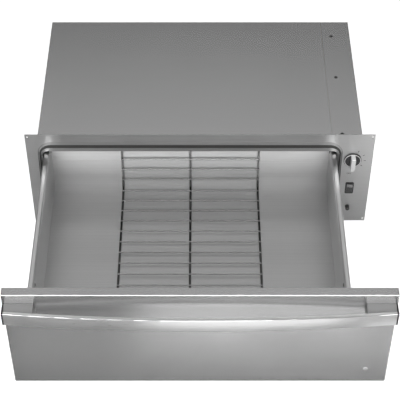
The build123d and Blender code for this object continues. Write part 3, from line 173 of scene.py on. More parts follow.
# ---------------------------------------------------------------- front flange
# A flat plate of brushed stainless steel, grain from side to side, with a screw hole in each corner. It
# closes the cut-out in the cabinet and carries the controls.
def brushed(name, shade, rough, grain=(1, 0, 0), depth=0.3, cloud=0.04, streak=0.04, spread=0.6,
            tint=(1, 1, 1), metallic=1.0):
    """Rolled and brushed sheet: fine lines along the grain, slow clouds of shade and of gloss across it."""
    along_grain, across_grain, noise_low, noise_high, gloss_sway = 3.0, 620.0, 0.3, 0.7, 1.5
    paint = bpy.data.materials.new(name)
    paint.use_nodes = True
    n, l = paint.node_tree.nodes, paint.node_tree.links
    shader = n["Principled BSDF"]
    shader.inputs["Metallic"].default_value = metallic
    place = n.new("ShaderNodeTexCoord")
    stretch = n.new("ShaderNodeMapping")
    stretch.inputs["Scale"].default_value = [along_grain if g else across_grain for g in grain]
    l.new(place.outputs["Object"], stretch.inputs["Vector"])
    lines = n.new("ShaderNodeTexNoise")
    lines.inputs["Scale"].default_value = 1.0
    lines.inputs["Detail"].default_value = 5.0
    l.new(stretch.outputs["Vector"], lines.inputs["Vector"])
    clouds = n.new("ShaderNodeTexNoise")
    clouds.inputs["Scale"].default_value = 4.0
    clouds.inputs["Detail"].default_value = 3.0
    l.new(place.outputs["Object"], clouds.inputs["Vector"])

    def remap(source, low, high, to_low, to_high):
        node = n.new("ShaderNodeMapRange")
        node.inputs["From Min"].default_value, node.inputs["From Max"].default_value = low, high
        node.inputs["To Min"].default_value, node.inputs["To Max"].default_value = to_low, to_high
        l.new(source, node.inputs["Value"])
        return node.outputs["Result"]

    both = n.new("ShaderNodeMath")
    both.operation = "MULTIPLY"
    l.new(remap(lines.outputs["Fac"], noise_low, noise_high, 1 - streak, 1 + streak), both.inputs[0])
    l.new(remap(clouds.outputs["Fac"], noise_low, noise_high, 1 - cloud, 1 + cloud), both.inputs[1])
    low, high = 1 - streak - cloud, 1 + streak + cloud
    ramp = n.new("ShaderNodeMix")
    ramp.data_type = "RGBA"
    ramp.inputs["A"].default_value = [shade * low * c for c in tint] + [1]
    ramp.inputs["B"].default_value = [min(1, shade * high * c) for c in tint] + [1]
    l.new(remap(both.outputs[0], low, high, 0, 1), ramp.inputs["Factor"])
    l.new(ramp.outputs["Result"], shader.inputs["Base Color"])
    sway = gloss_sway * rough * (streak + cloud)
    l.new(remap(both.outputs[0], low, high, rough - sway, rough + sway), shader.inputs["Roughness"])
    relief = n.new("ShaderNodeBump")
    relief.inputs["Strength"].default_value = depth
    relief.inputs["Distance"].default_value = 0.00002
    l.new(lines.outputs["Fac"], relief.inputs["Height"])
    l.new(relief.outputs["Normal"], shader.inputs["Normal"])
    # light spreads across the brush lines, not along them
    along = n.new("ShaderNodeCombineXYZ")
    for axis, g in zip("XYZ", grain):
        along.inputs[axis].default_value = float(g)
    l.new(along.outputs[0], shader.inputs["Tangent"])
    shader.inputs["Anisotropic"].default_value = spread
    shader.inputs["Anisotropic Rotation"].default_value = 0.25
    return paint


def dress(paint, *names):
    """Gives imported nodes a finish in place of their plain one."""
    for name in names:
        mesh = nodes[name].data
        mesh.materials.clear()
        mesh.materials.append(paint)


flange_steel = brushed("flange_steel", 0.60, 0.30)
dress(flange_steel, "front_flange")


def put(tree, kind, sockets=None, **settings):
    """Adds a node to a tree, sets its properties and links or fills its sockets by name or number."""
    node = tree.nodes.new(kind)
    for key, value in settings.items():
        setattr(node, key, value)
    for socket, source in (sockets or {}).items():
        if isinstance(source, bpy.types.NodeSocket):
            tree.links.new(source, node.inputs[socket])
        else:
            node.inputs[socket].default_value = source
    return node


def new_tree(name, sockets):
    """Starts a Geometry Nodes tree with named inputs. Gives the tree, its input and its output node."""
    tree = bpy.data.node_groups.new(name, "GeometryNodeTree")
    tree.interface.new_socket("Geometry", in_out="INPUT", socket_type="NodeSocketGeometry")
    tree.interface.new_socket("Geometry", in_out="OUTPUT", socket_type="NodeSocketGeometry")
    for label, kind in sockets:
        tree.interface.new_socket(label, in_out="INPUT", socket_type="NodeSocket" + kind)
    return tree, tree.nodes.new("NodeGroupInput"), tree.nodes.new("NodeGroupOutput")


def close_tree(tree, source, group_in, group_out, smooth=True):
    """Ends a tree: instances become real, shading is set and the piece gets its material."""
    real = put(tree, "GeometryNodeRealizeInstances", {"Geometry": source})
    shaded = put(tree, "GeometryNodeSetShadeSmooth", {"Geometry": real.outputs[0], "Shade Smooth": smooth})
    painted = put(tree, "GeometryNodeSetMaterial", {
        "Geometry": shaded.outputs[0], "Material": group_in.outputs["Material"]})
    tree.links.new(painted.outputs[0], group_out.inputs[0])


def on_seeds(tree, instance, group_in):
    """Sets an instance on every seed point, turned so that its Z axis faces the way that the seed gives."""
    way = put(tree, "GeometryNodeInputNamedAttribute", {"Name": "facing"}, data_type="FLOAT_VECTOR")
    turned = put(tree, "FunctionNodeAlignRotationToVector", {"Vector": way.outputs[0]}, axis="Z")
    placed = put(tree, "GeometryNodeInstanceOnPoints", {
        "Points": group_in.outputs["Geometry"], "Instance": instance, "Rotation": turned.outputs[0]})
    return placed.outputs[0]


def grow(name, tree, body, slot, seeds, facing=(), **values):
    """Runs a tree once on a mesh of seed points and keeps what it makes as the mesh of a new piece."""
    mesh = bpy.data.meshes.new(name)
    mesh.from_pydata([tuple(seed) for seed in seeds], [], [])
    if facing:
        directions = mesh.attributes.new("facing", "FLOAT_VECTOR", "POINT")
        for item, direction in zip(directions.data, facing):
            item.vector = direction
    piece = bpy.data.objects.new(name, mesh)
    bpy.context.scene.collection.objects.link(piece)
    grown = piece.modifiers.new("grown", "NODES")
    grown.node_group = tree
    for socket in tree.interface.items_tree:
        label = socket.name.replace(" ", "_").lower()
        if socket.in_out == "INPUT" and label in values:
            grown[socket.identifier] = values[label]
    made = bpy.data.meshes.new_from_object(piece.evaluated_get(bpy.context.evaluated_depsgraph_get()))
    piece.modifiers.remove(grown)
    piece.data = made
    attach(piece, body)
    return piece


def box_of(node):
    """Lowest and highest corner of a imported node."""
    return [Vector(c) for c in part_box(node)]


# The punched holes have a rolled bright edge.
ring_tree, ring_in, ring_out = new_tree("hole_edges", (
    ("Radius", "Float"), ("Edge", "Float"), ("Material", "Material")))
ring_line = put(ring_tree, "GeometryNodeCurvePrimitiveCircle", {
    "Resolution": 40, "Radius": ring_in.outputs["Radius"]})
ring_bead = put(ring_tree, "GeometryNodeCurvePrimitiveCircle", {
    "Resolution": 8, "Radius": ring_in.outputs["Edge"]})
ring_mesh = put(ring_tree, "GeometryNodeCurveToMesh", {
    "Curve": ring_line.outputs[0], "Profile Curve": ring_bead.outputs[0]})
close_tree(ring_tree, on_seeds(ring_tree, ring_mesh.outputs[0], ring_in), ring_in, ring_out)
flange_low, flange_high = box_of("front_flange")
hole_in_x, hole_in_z, hole_radius, rolled = 0.0055, 0.0073, 0.0022, 0.0002
grow("flange_hole_edges", ring_tree, "chassis", "stainless",
     seeds=[(x, flange_low.y, z) for x in (flange_low.x + hole_in_x, flange_high.x - hole_in_x)
            for z in (flange_low.z + hole_in_z, flange_high.z - hole_in_z)],
     facing=[(0, 1, 0)] * 4, radius=hole_radius + rolled, edge=rolled, material=flange_steel)

# ---------------------------------------------------------------- collar and seal
# Three shallow steps pressed in plain steel lead from the flange into the cavity, with a dark grey rubber
# strip in the middle one. The strip is a seal, and its dark colour also stands for a line of painted shade
# between the steps.
collar_steel = brushed("collar_steel", 0.40, 0.40)
dress(collar_steel, "opening_collar")


def moulded(name, colour, rough, grain=900.0, depth=0.2, mottle=0.15):
    """Moulded plastic or rubber with a fine spark-eroded grain."""
    cloud_scale, gloss_sway = 35.0, 0.07
    paint = bpy.data.materials.new(name)
    paint.use_nodes = True
    n, l = paint.node_tree.nodes, paint.node_tree.links
    shader = n["Principled BSDF"]
    place = n.new("ShaderNodeTexCoord")
    speckle = n.new("ShaderNodeTexNoise")
    speckle.inputs["Scale"].default_value = grain
    speckle.inputs["Detail"].default_value = 3.0
    l.new(place.outputs["Object"], speckle.inputs["Vector"])
    clouds = n.new("ShaderNodeTexNoise")
    clouds.inputs["Scale"].default_value = cloud_scale
    l.new(place.outputs["Object"], clouds.inputs["Vector"])
    shade = n.new("ShaderNodeMix")
    shade.data_type = "RGBA"
    shade.inputs["A"].default_value = [c * (1 - mottle) for c in colour] + [1]
    shade.inputs["B"].default_value = [min(1, c * (1 + mottle)) for c in colour] + [1]
    l.new(clouds.outputs["Fac"], shade.inputs["Factor"])
    l.new(shade.outputs["Result"], shader.inputs["Base Color"])
    gloss = n.new("ShaderNodeMapRange")
    gloss.inputs["To Min"].default_value = rough - gloss_sway
    gloss.inputs["To Max"].default_value = rough + gloss_sway
    l.new(speckle.outputs["Fac"], gloss.inputs["Value"])
    l.new(gloss.outputs["Result"], shader.inputs["Roughness"])
    relief = n.new("ShaderNodeBump")
    relief.inputs["Strength"].default_value = depth
    relief.inputs["Distance"].default_value = 0.00005
    l.new(speckle.outputs["Fac"], relief.inputs["Height"])
    l.new(relief.outputs["Normal"], shader.inputs["Normal"])
    return paint


# The seal's dark rubber also stands in for the shade line between the collar's steps.
seal_rubber = moulded("seal_rubber", (0.035, 0.035, 0.034), 0.6)
dress(seal_rubber, "rim_seal")

# ---------------------------------------------------------------- chassis
# The outer box is folded from plain sheet steel. Its rear panel and left side are spot welded along the
# folds, and each weld shows as a shallow ring. The right hand strip of the roof is a cover that comes off.
chassis_steel = brushed("chassis_steel", 0.68, 0.25, depth=0.03, cloud=0.015, streak=0.006, spread=0.0,
                        metallic=0.8)
dress(chassis_steel, "chassis_roof", "chassis_bottom", "chassis_left_side", "control_cover", "rear_panel")
rear_low, rear_high = box_of("rear_panel")
side_x = box_of("chassis_left_side")[0].x
weld_in, weld_rows, weld_columns, share_below_bevel = 0.007, 5, 9, 0.72
welded_height, rear_width = share_below_bevel * (rear_high.z - rear_low.z), rear_high.x - rear_low.x
lowest_weld = rear_low.z + weld_in
weld_heights = [lowest_weld + i * welded_height / (weld_rows - 1) for i in range(weld_rows)]
rear_welds = [(x, rear_high.y, z)
              for x in (rear_low.x + weld_in, rear_high.x - weld_in) for z in weld_heights]
rear_welds += [(rear_low.x + (i + 1) * rear_width / (weld_columns + 1), rear_high.y, lowest_weld)
               for i in range(weld_columns)]
side_welds = [(side_x, rear_high.y * (i + 0.5) / weld_columns, lowest_weld) for i in range(weld_columns)]
grow("chassis_spot_welds", ring_tree, "chassis", "bare_steel", seeds=rear_welds + side_welds,
     facing=[(0, 1, 0)] * len(rear_welds) + [(1, 0, 0)] * len(side_welds), radius=0.0026, edge=0.00018,
     material=chassis_steel)

# ---------------------------------------------------------------- screws
# Blackened steel screws with a domed head, a cross recess and a rolled thread. Three hold the control cover,
# and two on each side join the drawer pan to its side frames.
blackened = brushed("blackened_screws", 0.10, 0.42, spread=0.0, metallic=0.7)
screw_tree, screw_in, screw_out = new_tree("cross_screws", (
    ("Head", "Float"), ("Rise", "Float"), ("Shank", "Float"), ("Length", "Float"), ("Material", "Material")))
head_r, rise, shank_r, length = (screw_in.outputs[k] for k in ("Head", "Rise", "Shank", "Length"))


def sum_of(tree, operation, a, b):
    return put(tree, "ShaderNodeMath", {0: a, 1: b}, operation=operation).outputs[0]


def vector_of(tree, x=0.0, y=0.0, z=0.0):
    return put(tree, "ShaderNodeCombineXYZ", {"X": x, "Y": y, "Z": z}).outputs[0]


dome = put(screw_tree, "GeometryNodeMeshUVSphere", {"Segments": 32, "Rings": 16, "Radius": 1.0})
dome_set = put(screw_tree, "GeometryNodeTransform", {
    "Geometry": dome.outputs[0], "Scale": vector_of(screw_tree, head_r, head_r, rise)})
block = 0.1
below = put(screw_tree, "GeometryNodeMeshCube", {"Size": vector_of(screw_tree, block, block, block)})
below_set = put(screw_tree, "GeometryNodeTransform", {
    "Geometry": below.outputs[0], "Translation": vector_of(screw_tree, z=-block / 2)})
cross_length, cross_width = 1.15, 0.24  # shares of the head's radius
slots = [put(screw_tree, "GeometryNodeTransform", {
    "Geometry": put(screw_tree, "GeometryNodeMeshCube", {"Size": vector_of(
        screw_tree, *(sum_of(screw_tree, "MULTIPLY", head_r, k) for k in sides), rise)}).outputs[0],
    "Translation": vector_of(screw_tree, z=rise)})
    for sides in ((cross_length, cross_width), (cross_width, cross_length))]
cut = put(screw_tree, "GeometryNodeMeshBoolean", {"Mesh 1": dome_set.outputs[0]}, operation="DIFFERENCE")
for tool in (below_set, *slots):
    screw_tree.links.new(tool.outputs[0], cut.inputs["Mesh 2"])
shank = put(screw_tree, "GeometryNodeMeshCylinder", {"Vertices": 16, "Radius": shank_r, "Depth": length})
shank_set = put(screw_tree, "GeometryNodeTransform", {
    "Geometry": shank.outputs["Mesh"],
    "Translation": vector_of(screw_tree, z=sum_of(screw_tree, "MULTIPLY", length, -0.5))})
thread_pitch, thread_rise = 0.0009, 0.00022
turns = sum_of(screw_tree, "DIVIDE", length, thread_pitch)
thread_line = put(screw_tree, "GeometryNodeCurveSpiral", {
    "Resolution": 16, "Rotations": turns, "Start Radius": shank_r, "End Radius": shank_r, "Height": length})
thread_rib = put(screw_tree, "GeometryNodeCurvePrimitiveCircle", {"Resolution": 4, "Radius": thread_rise})
thread = put(screw_tree, "GeometryNodeCurveToMesh", {
    "Curve": thread_line.outputs[0], "Profile Curve": thread_rib.outputs[0]})
thread_set = put(screw_tree, "GeometryNodeTransform", {
    "Geometry": thread.outputs[0],
    "Translation": vector_of(screw_tree, z=sum_of(screw_tree, "MULTIPLY", length, -1.0))})
screw = put(screw_tree, "GeometryNodeJoinGeometry")
for piece in (cut, shank_set, thread_set):
    screw_tree.links.new(piece.outputs[0], screw.inputs[0])
close_tree(screw_tree, on_seeds(screw_tree, screw.outputs[0], screw_in), screw_in, screw_out, smooth=False)

head, shank_radius, pan_head_rise, pan_sheet, middle_screw_y = 0.004, 0.0015, 0.0015, 0.001, 0.257
cover_low, cover_high = box_of("cover_screws")
roof_z = box_of("control_cover")[1].z
cover_x = (cover_low.x + cover_high.x) / 2
cover_screws = grow("cover_cross_screws", screw_tree, "chassis", "black_zinc",
                    seeds=[(cover_x, y, roof_z)
                           for y in (cover_low.y + head, middle_screw_y, cover_high.y - head)],
                    facing=[(0, 0, 1)] * 3, head=head, rise=cover_high.z - roof_z, shank=shank_radius,
                    length=roof_z - cover_low.z, material=blackened)
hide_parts("cover_screws")
pan_low, pan_high = box_of("drawer_pan")
pin_low, pin_high = box_of("pan_screws")
pan_screws = grow("pan_cross_screws", screw_tree, "drawer", "black_zinc",
                  seeds=[(x, y, (pin_low.z + pin_high.z) / 2)
                         for x in (pan_low.x + pan_sheet, pan_high.x - pan_sheet)
                         for y in (pin_low.y + head, pin_high.y - head)],
                  facing=[(1, 0, 0)] * 2 + [(-1, 0, 0)] * 2, head=head, rise=pan_head_rise,
                  shank=shank_radius, length=pan_low.x + pan_sheet - pin_low.x, material=blackened)
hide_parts("pan_screws")
dress(blackened, "handle_screws")

# ---------------------------------------------------------------- liner and hidden sheet parts
# Bare sheet steel round the heated cavity, with glass fibre boards between it and the outer box. Its steel is
# painted dark as shade for the dim cavity.
# Painted shade: the liner's steel is kept dark for the shade inside the cavity.
liner_steel = brushed("liner_steel", 0.30, 0.38, grain=(0, 1, 0), cloud=0.08, tint=(1.0, 0.985, 0.95))
dress(liner_steel, "liner_floor", "liner_left", "liner_right", "liner_roof", "liner_back", "control_divider",
      "junction_box", "element_brackets", "heat_deflector", "front_inner_panel")
fibre = moulded("glass_fibre_board", (0.62, 0.55, 0.36), 0.9, grain=240.0, depth=0.8, mottle=0.25)
dress(fibre, "floor_insulation", "side_insulation", "roof_insulation", "rear_insulation", "front_insulation")

# ---------------------------------------------------------------- heating element
# A tube element, blued and scaled by heat, on ceramic ends. The cut-out and the terminals are ceramic too.
element_steel = moulded("scaled_element", (0.10, 0.09, 0.085), 0.5)
dress(element_steel, "heating_element")
porcelain = moulded("porcelain", (0.80, 0.77, 0.70), 0.35, grain=300.0, depth=0.05, mottle=0.05)
dress(porcelain, "element_terminals", "thermal_cutout", "terminal_block")
wire_sleeve = moulded("wire_sleeve", (0.55, 0.52, 0.45), 0.7, grain=1400.0, depth=0.5, mottle=0.2)
dress(wire_sleeve, "wiring_harness")

# ---------------------------------------------------------------- slides
# Telescopic slides of strip, drawn lengthwise, with ball cages between the members. They are painted near
# black as shade for the dark gap beside the drawer in which they sit. The shaft of the temperature control
# has the same paint.
# Painted shade: the near black of the slides stands in for the shade of the gap they sit in.
black_zinc = brushed("black_zinc_plate", 0.16, 0.36, grain=(0, 1, 0), tint=(0.97, 0.99, 1.0))
dress(black_zinc, "slide_outer", "slide_middle", "slide_inner", "outer_ball_cage", "inner_ball_cage",
      "control_shaft")

# ---------------------------------------------------------------- drawer box
# The pan is stainless steel, brushed from side to side. It hangs between side frames whose rails are brushed
# lengthwise.
pan_steel = brushed("pan_steel", 0.76, 0.58, spread=0.9)
dress(pan_steel, "drawer_pan")
rail_steel = brushed("rail_steel", 0.90, 0.33, grain=(0, 1, 0), spread=0.8)
dress(rail_steel, "drawer_side_left", "drawer_side_right")

# ---------------------------------------------------------------- wire rack
# Three long wires, bent up behind, carry round cross wires at one pitch. Every crossing is a resistance
# weld with a small bead, and the rack is chrome plated. The long wires are painted dark as shade where they
# lie on the floor and pale as a painted reflection up their bent back part.
rack_chrome = brushed("rack_chrome", 0.50, 0.13, depth=0.0, cloud=0.02, streak=0.01, spread=0.0)
rack_shade_and_reflection = brushed("rack_dark_chrome", 0.12, 0.20, depth=0.0, cloud=0.02, streak=0.01, spread=0.0)


def paint_light_by_height(paint, *levels):
    """Paints light and shade into a paint by height above the origin, in metres, blended between given
    heights.
    """
    n, l = paint.node_tree.nodes, paint.node_tree.links
    place = n.new("ShaderNodeTexCoord")
    height = n.new("ShaderNodeSeparateXYZ")
    l.new(place.outputs["Object"], height.inputs[0])
    lowest, highest = levels[0][0], levels[-1][0]
    span = n.new("ShaderNodeMapRange")
    span.inputs["From Min"].default_value, span.inputs["From Max"].default_value = lowest, highest
    l.new(height.outputs["Z"], span.inputs["Value"])
    ramp = n.new("ShaderNodeValToRGB")
    stops = ramp.color_ramp.elements
    for _ in levels[1:-1]:
        stops.new(0.5)
    for stop, (z, level) in zip(stops, levels):
        stop.position, stop.color = (z - lowest) / (highest - lowest), (level, level, level, 1)
    l.new(span.outputs["Result"], ramp.inputs["Fac"])
    l.new(ramp.outputs["Color"], n["Principled BSDF"].inputs["Base Color"])


# Painted light: the long wires are painted dark as shade low on the floor and pale as a reflection higher up.
paint_light_by_height(rack_shade_and_reflection, (-0.045, 0.12), (-0.030, 0.95))
rack_lengths = ("Wire", "Cross Wire", "Sink", "Width", "Centre", "Front", "Back", "Floor", "Top", "Bend",
                "Pitch", "Inset")
rack_tree, rack_in, rack_out = new_tree("wire_rack", (
    *((label, "Float") for label in rack_lengths), ("Count", "Int"), ("Cross Part", "Bool"),
    ("Material", "Material")))
ri = {socket.name: socket for socket in rack_in.outputs}
side_view = put(rack_tree, "GeometryNodeMeshLine", {"Count": 3})
corner = put(rack_tree, "GeometryNodeIndexSwitch", {
    "Index": put(rack_tree, "GeometryNodeInputIndex").outputs[0]}, data_type="VECTOR")
corner.index_switch_items.new()
for i, (y, z) in enumerate((("Front", "Floor"), ("Back", "Floor"), ("Back", "Top"))):
    rack_tree.links.new(vector_of(rack_tree, 0.0, ri[y], ri[z]), corner.inputs[i + 1])
bent = put(rack_tree, "GeometryNodeSetPosition", {
    "Geometry": side_view.outputs[0], "Position": corner.outputs[0]})
path = put(rack_tree, "GeometryNodeMeshToCurve", {"Mesh": bent.outputs[0]})
path = put(rack_tree, "GeometryNodeFilletCurve", {
    "Curve": path.outputs[0], "Radius": ri["Bend"], "Limit Radius": True, "Count": 20}, mode="POLY")
half = sum_of(rack_tree, "MULTIPLY", ri["Width"], 0.5)
columns = put(rack_tree, "GeometryNodeMeshLine", {
    "Count": 3, "Start Location": vector_of(rack_tree, sum_of(rack_tree, "SUBTRACT", ri["Centre"], half)),
    "Offset": vector_of(rack_tree, half)})


def copies(tree, points, instance):
    """Real copies of an instance on every point."""
    placed = put(tree, "GeometryNodeInstanceOnPoints", {"Points": points, "Instance": instance})
    return put(tree, "GeometryNodeRealizeInstances", {"Geometry": placed.outputs[0]}).outputs[0]


def tube(tree, curve, width, sides):
    """Round wire along a curve, closed at its ends."""
    section = put(tree, "GeometryNodeCurvePrimitiveCircle", {
        "Resolution": sides, "Radius": sum_of(tree, "MULTIPLY", width, 0.5)})
    return put(tree, "GeometryNodeCurveToMesh", {
        "Curve": curve, "Profile Curve": section.outputs[0], "Fill Caps": True})


long_wires = tube(rack_tree, copies(rack_tree, columns.outputs[0], path.outputs[0]), ri["Wire"], 20)
run = put(rack_tree, "GeometryNodeCurveLength", {"Curve": path.outputs[0]})
spaced = sum_of(rack_tree, "MULTIPLY", put(rack_tree, "GeometryNodeInputIndex").outputs[0], ri["Pitch"])
from_top = sum_of(rack_tree, "ADD", ri["Inset"], spaced)
sampled = put(rack_tree, "GeometryNodeSampleCurve", {
    "Curves": path.outputs[0],
    "Length": sum_of(rack_tree, "SUBTRACT", run.outputs[0], from_top)}, mode="LENGTH")
inward = put(rack_tree, "ShaderNodeVectorMath", {
    0: (1.0, 0.0, 0.0), 1: sampled.outputs["Tangent"]}, operation="CROSS_PRODUCT")
touching = sum_of(rack_tree, "MULTIPLY", sum_of(rack_tree, "ADD", ri["Wire"], ri["Cross Wire"]), 0.5)
offset = put(rack_tree, "ShaderNodeVectorMath", {
    0: inward.outputs[0], "Scale": sum_of(rack_tree, "SUBTRACT", touching, ri["Sink"])}, operation="SCALE")
seat_at = put(rack_tree, "ShaderNodeVectorMath", {
    0: sampled.outputs["Position"], 1: offset.outputs[0]}, operation="ADD")
seat_at = put(rack_tree, "ShaderNodeVectorMath", {
    0: seat_at.outputs[0], 1: vector_of(rack_tree, ri["Centre"])}, operation="ADD")
rows = put(rack_tree, "GeometryNodeMeshLine", {"Count": ri["Count"]})
rows = put(rack_tree, "GeometryNodeSetPosition", {
    "Geometry": rows.outputs[0], "Position": seat_at.outputs[0]})
reach = sum_of(rack_tree, "MULTIPLY", sum_of(rack_tree, "ADD", ri["Width"], ri["Wire"]), 0.5)
bar = put(rack_tree, "GeometryNodeCurvePrimitiveLine", {
    "Start": vector_of(rack_tree, sum_of(rack_tree, "MULTIPLY", reach, -1.0)),
    "End": vector_of(rack_tree, reach)})
cross_wires = tube(rack_tree, copies(rack_tree, rows.outputs[0], bar.outputs[0]), ri["Cross Wire"], 16)
welds = put(rack_tree, "GeometryNodeMeshLine", {
    "Count": 3, "Start Location": vector_of(rack_tree, sum_of(rack_tree, "MULTIPLY", half, -1.0)),
    "Offset": vector_of(rack_tree, half)})
bead_radius, bead_stretch = 0.62, 1.35  # share of the cross wire's width, and stretch along that wire
bead = put(rack_tree, "GeometryNodeMeshIcoSphere", {
    "Radius": sum_of(rack_tree, "MULTIPLY", ri["Cross Wire"], bead_radius), "Subdivisions": 3})
beads = put(rack_tree, "GeometryNodeInstanceOnPoints", {
    "Points": copies(rack_tree, rows.outputs[0], welds.outputs[0]), "Instance": bead.outputs[0],
    "Scale": (bead_stretch, 1.0, 1.0)})
welded = put(rack_tree, "GeometryNodeJoinGeometry")
for piece in (cross_wires, beads):
    rack_tree.links.new(piece.outputs[0], welded.inputs[0])
part = put(rack_tree, "GeometryNodeSwitch", {
    "Switch": ri["Cross Part"], "False": long_wires.outputs[0],
    "True": welded.outputs[0]}, input_type="GEOMETRY")
close_tree(rack_tree, part.outputs[0], rack_in, rack_out)
wire, cross_wire, pitch, inset, bend, sink = 0.005, 0.0032, 0.0313, 0.0227, 0.032, 0.0005
long_low, long_high = box_of("rack_long_wires")
flat = long_high.y - wire / 2 - bend - long_low.y
upright = long_high.z - long_low.z - wire / 2 - bend
wire_run = upright + bend * pi / 2 + flat
row_count = int((wire_run - cross_wire - inset) / pitch) + 1
for part_name, node, crosses, paint in (("long_wires", "rack_long_wires", False, rack_shade_and_reflection),
                                        ("welded_cross_wires", "rack_cross_wires", True, rack_chrome)):
    wires = grow(part_name, rack_tree, "rack", "chrome", seeds=[(0, 0, 0)], wire=wire, cross_wire=cross_wire,
                 sink=sink, width=long_high.x - long_low.x - wire, centre=(long_low.x + long_high.x) / 2,
                 front=long_low.y, back=long_high.y - wire / 2, floor=long_low.z + wire / 2,
                 top=long_high.z, bend=bend, pitch=pitch, inset=inset, count=row_count, cross_part=crosses,
                 material=paint)
    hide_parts(node)

# ---------------------------------------------------------------- front panel
# A folded tray of brushed stainless steel over an insulated inner panel. A clear light pipe sits in it, drawn
# as opaque dark grey plastic as painted shade for the dark behind it, with a thin white ring round its face.
front_steel = brushed("front_steel", 0.64, 0.24, depth=0.1, spread=0.7)
dress(front_steel, "front_panel")
# Painted shade: the clear light pipe is opaque dark grey for the dark seen through it.
clear = moulded("clear_lens", (0.22, 0.22, 0.22), 0.1)
dress(clear, "light_pipe")
ring_plastic = moulded("ring_plastic", (0.85, 0.85, 0.84), 0.3)
pipe_low, pipe_high = box_of("light_pipe")
pipe_x, pipe_z = (pipe_low.x + pipe_high.x) / 2, (pipe_low.z + pipe_high.z) / 2
panel_front = box_of("front_panel")[0].y
grow("light_pipe_ring", ring_tree, "drawer", "light_plastic", seeds=[(pipe_x, panel_front, pipe_z)],
     facing=[(0, 1, 0)], radius=(pipe_high.x - pipe_low.x) / 2, edge=0.0005, material=ring_plastic)

# ---------------------------------------------------------------- handle
# A bowed and crowned bar of brushed stainless steel on cast zinc end blocks, with black plastic caps on its
# ends.
handle_steel = brushed("handle_steel", 0.66, 0.30, depth=0.1, spread=0.7)
dress(handle_steel, "handle_bar")
block_zinc = brushed("block_zinc", 0.32, 0.45, depth=0.05, streak=0.01, spread=0.0)
dress(block_zinc, "handle_blocks")
black_plastic = moulded("black_plastic", (0.02, 0.02, 0.021), 0.45)
dress(black_plastic, "handle_end_caps", "light_pipe_clip", "temperature_control", "cable_gland")
dress(seal_rubber, "closing_bumpers")

# ---------------------------------------------------------------- temperature knob
# A black dial in a satin rim, with a grey grip across it. The grip's top end is painted pale as a highlight,
# with a thin dark line of painted shade just below it. The rim carries a printed pointer, and the flange is
# printed with marks round it.
satin_rim = brushed("satin_rim", 0.92, 0.50, depth=0.0, cloud=0.02, streak=0.01, spread=0.0)
dress(satin_rim, "knob_rim", "temperature_probe")
dial_plastic = moulded("dial_plastic", (0.03, 0.03, 0.031), 0.3)
dress(dial_plastic, "knob_dial")
grip_plastic = moulded("grip_plastic", (0.6, 0.6, 0.58), 0.3)
grip_low, grip_high = box_of("knob_grip")
# Painted light: a pale highlight on the grip's top end and a dark line of shade below it, by height.
paint_light_by_height(grip_plastic, *((grip_high.z - below_end, level) for below_end, level in (
    (0.0030, 0.56), (0.0022, 0.25), (0.0018, 0.25), (0.0012, 0.95))))
dress(grip_plastic, "knob_grip")
ink = moulded("printed_ink", (0.03, 0.03, 0.032), 0.55, grain=2500.0, depth=0.05)


def printed(name, body, width, height, place, turn=0.0, thickness=0.00008, steps=6):
    """Thin printed bar with round ends, on a face that looks forward."""
    shape = bmesh.new()
    ends = [(s * (width - height) / 2, s) for s in (1, -1)]
    outline = [(x + s * height / 2 * cos(a), s * height / 2 * sin(a))
               for x, s in ends for a in [pi * (i / steps - 0.5) for i in range(steps + 1)]]
    corners = [shape.verts.new((x * cos(turn) - z * sin(turn), 0, x * sin(turn) + z * cos(turn)))
               for x, z in outline]
    face = shape.faces.new(corners)
    raised = bmesh.ops.extrude_face_region(shape, geom=[face])["geom"]
    bmesh.ops.translate(shape, vec=(0, -thickness, 0),
                        verts=[v for v in raised if isinstance(v, bmesh.types.BMVert)])
    bmesh.ops.recalc_face_normals(shape, faces=shape.faces)
    bmesh.ops.translate(shape, vec=place, verts=shape.verts)
    mesh = bpy.data.meshes.new(name)
    shape.to_mesh(mesh)
    shape.free()
    mesh.materials.append(ink)
    piece = bpy.data.objects.new(name, mesh)
    bpy.context.scene.collection.objects.link(piece)
    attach(piece, body)


knob_x, knob_z = (grip_low.x + grip_high.x) / 2, (grip_low.z + grip_high.z) / 2
rim_low, rim_high = box_of("knob_rim")
pointer_length, pointer_width = 0.0032, 0.0012
printed("rim_pointer", "knob", pointer_length, pointer_width,
        (knob_x, rim_low.y, rim_high.z - pointer_length / 2), turn=pi / 2)
mark_tree, mark_in, mark_out = new_tree("dial_marks", (
    ("Radius", "Float"), ("First", "Float"), ("Step", "Float"), ("Count", "Int"), ("Size", "Vector"),
    ("Centre", "Vector"), ("Material", "Material")))
mi = {socket.name: socket for socket in mark_in.outputs}
mark_line = put(mark_tree, "GeometryNodeMeshLine", {"Count": mi["Count"]})
angle = sum_of(mark_tree, "ADD", mi["First"], sum_of(
    mark_tree, "MULTIPLY", put(mark_tree, "GeometryNodeInputIndex").outputs[0], mi["Step"]))
around = vector_of(
    mark_tree, sum_of(mark_tree, "MULTIPLY", mi["Radius"], sum_of(mark_tree, "COSINE", angle, 0.0)), 0.0,
    sum_of(mark_tree, "MULTIPLY", mi["Radius"], sum_of(mark_tree, "SINE", angle, 0.0)))
mark_at = put(mark_tree, "ShaderNodeVectorMath", {0: around, 1: mi["Centre"]}, operation="ADD")
mark_points = put(mark_tree, "GeometryNodeSetPosition", {
    "Geometry": mark_line.outputs[0], "Position": mark_at.outputs[0]})
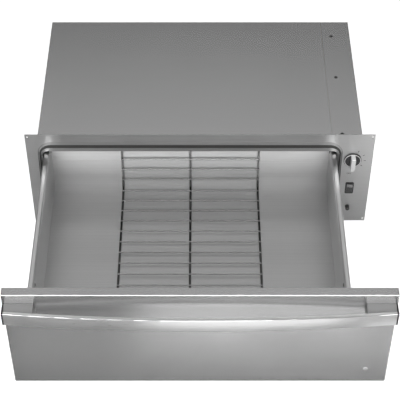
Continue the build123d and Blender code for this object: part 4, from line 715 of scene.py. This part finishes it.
mark_bar = put(mark_tree, "GeometryNodeMeshCube", {"Size": mi["Size"]})
mark_turn = put(mark_tree, "FunctionNodeEulerToRotation", {
    "Euler": vector_of(mark_tree, y=sum_of(mark_tree, "MULTIPLY", angle, -1.0))})
marks = put(mark_tree, "GeometryNodeInstanceOnPoints", {
    "Points": mark_points.outputs[0], "Instance": mark_bar.outputs[0], "Rotation": mark_turn.outputs[0]})
close_tree(mark_tree, marks.outputs[0], mark_in, mark_out, smooth=False)
ink_y = flange_low.y - 0.00004
grow("dial_marks", mark_tree, "chassis", "black_plastic", seeds=[(0, 0, 0)], radius=0.027,
     first=radians(-75), step=radians(35), count=5, size=(0.0045, 0.0001, 0.0014),
     centre=(knob_x, ink_y, knob_z), material=ink)

# ---------------------------------------------------------------- rocker switch
# A dark grey rocker in a frame of the same plastic, with the word for its upper side printed on the flange
# above it.
rocker_plastic = moulded("rocker_plastic", (0.06, 0.06, 0.061), 0.28)
dress(rocker_plastic, "switch_rocker", "switch_housing")
word = bpy.data.curves.new("switch_word", "FONT")
word.body = "ON"
word.align_x = word.align_y = "CENTER"
word.size = 0.0058
word.extrude = 0.00004
word.materials.append(ink)
switch_word = bpy.data.objects.new("switch_word", word)
bpy.context.scene.collection.objects.link(switch_word)
text_mesh = bpy.data.meshes.new_from_object(
    switch_word.evaluated_get(bpy.context.evaluated_depsgraph_get()))
bpy.data.objects.remove(switch_word)
word_left, word_up = 0.005, 0.0275  # from the knob's middle and from the top of the switch
word_place = (knob_x - word_left, ink_y, box_of("switch_housing")[1].z + word_up)
text_mesh.transform(Matrix.Translation(word_place) @ Matrix.Rotation(pi / 2, 4, "X"))
switch_word = bpy.data.objects.new("switch_word", text_mesh)
bpy.context.scene.collection.objects.link(switch_word)
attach(switch_word, "chassis")

# ---------------------------------------------------------------- signal lamp
# A dark smoked lens on a black body that stands out of the flange.
dress(black_plastic, "signal_lamp")
smoked = moulded("smoked_lens", (0.04, 0.037, 0.035), 0.09, depth=0.02)
dress(smoked, "signal_lens")
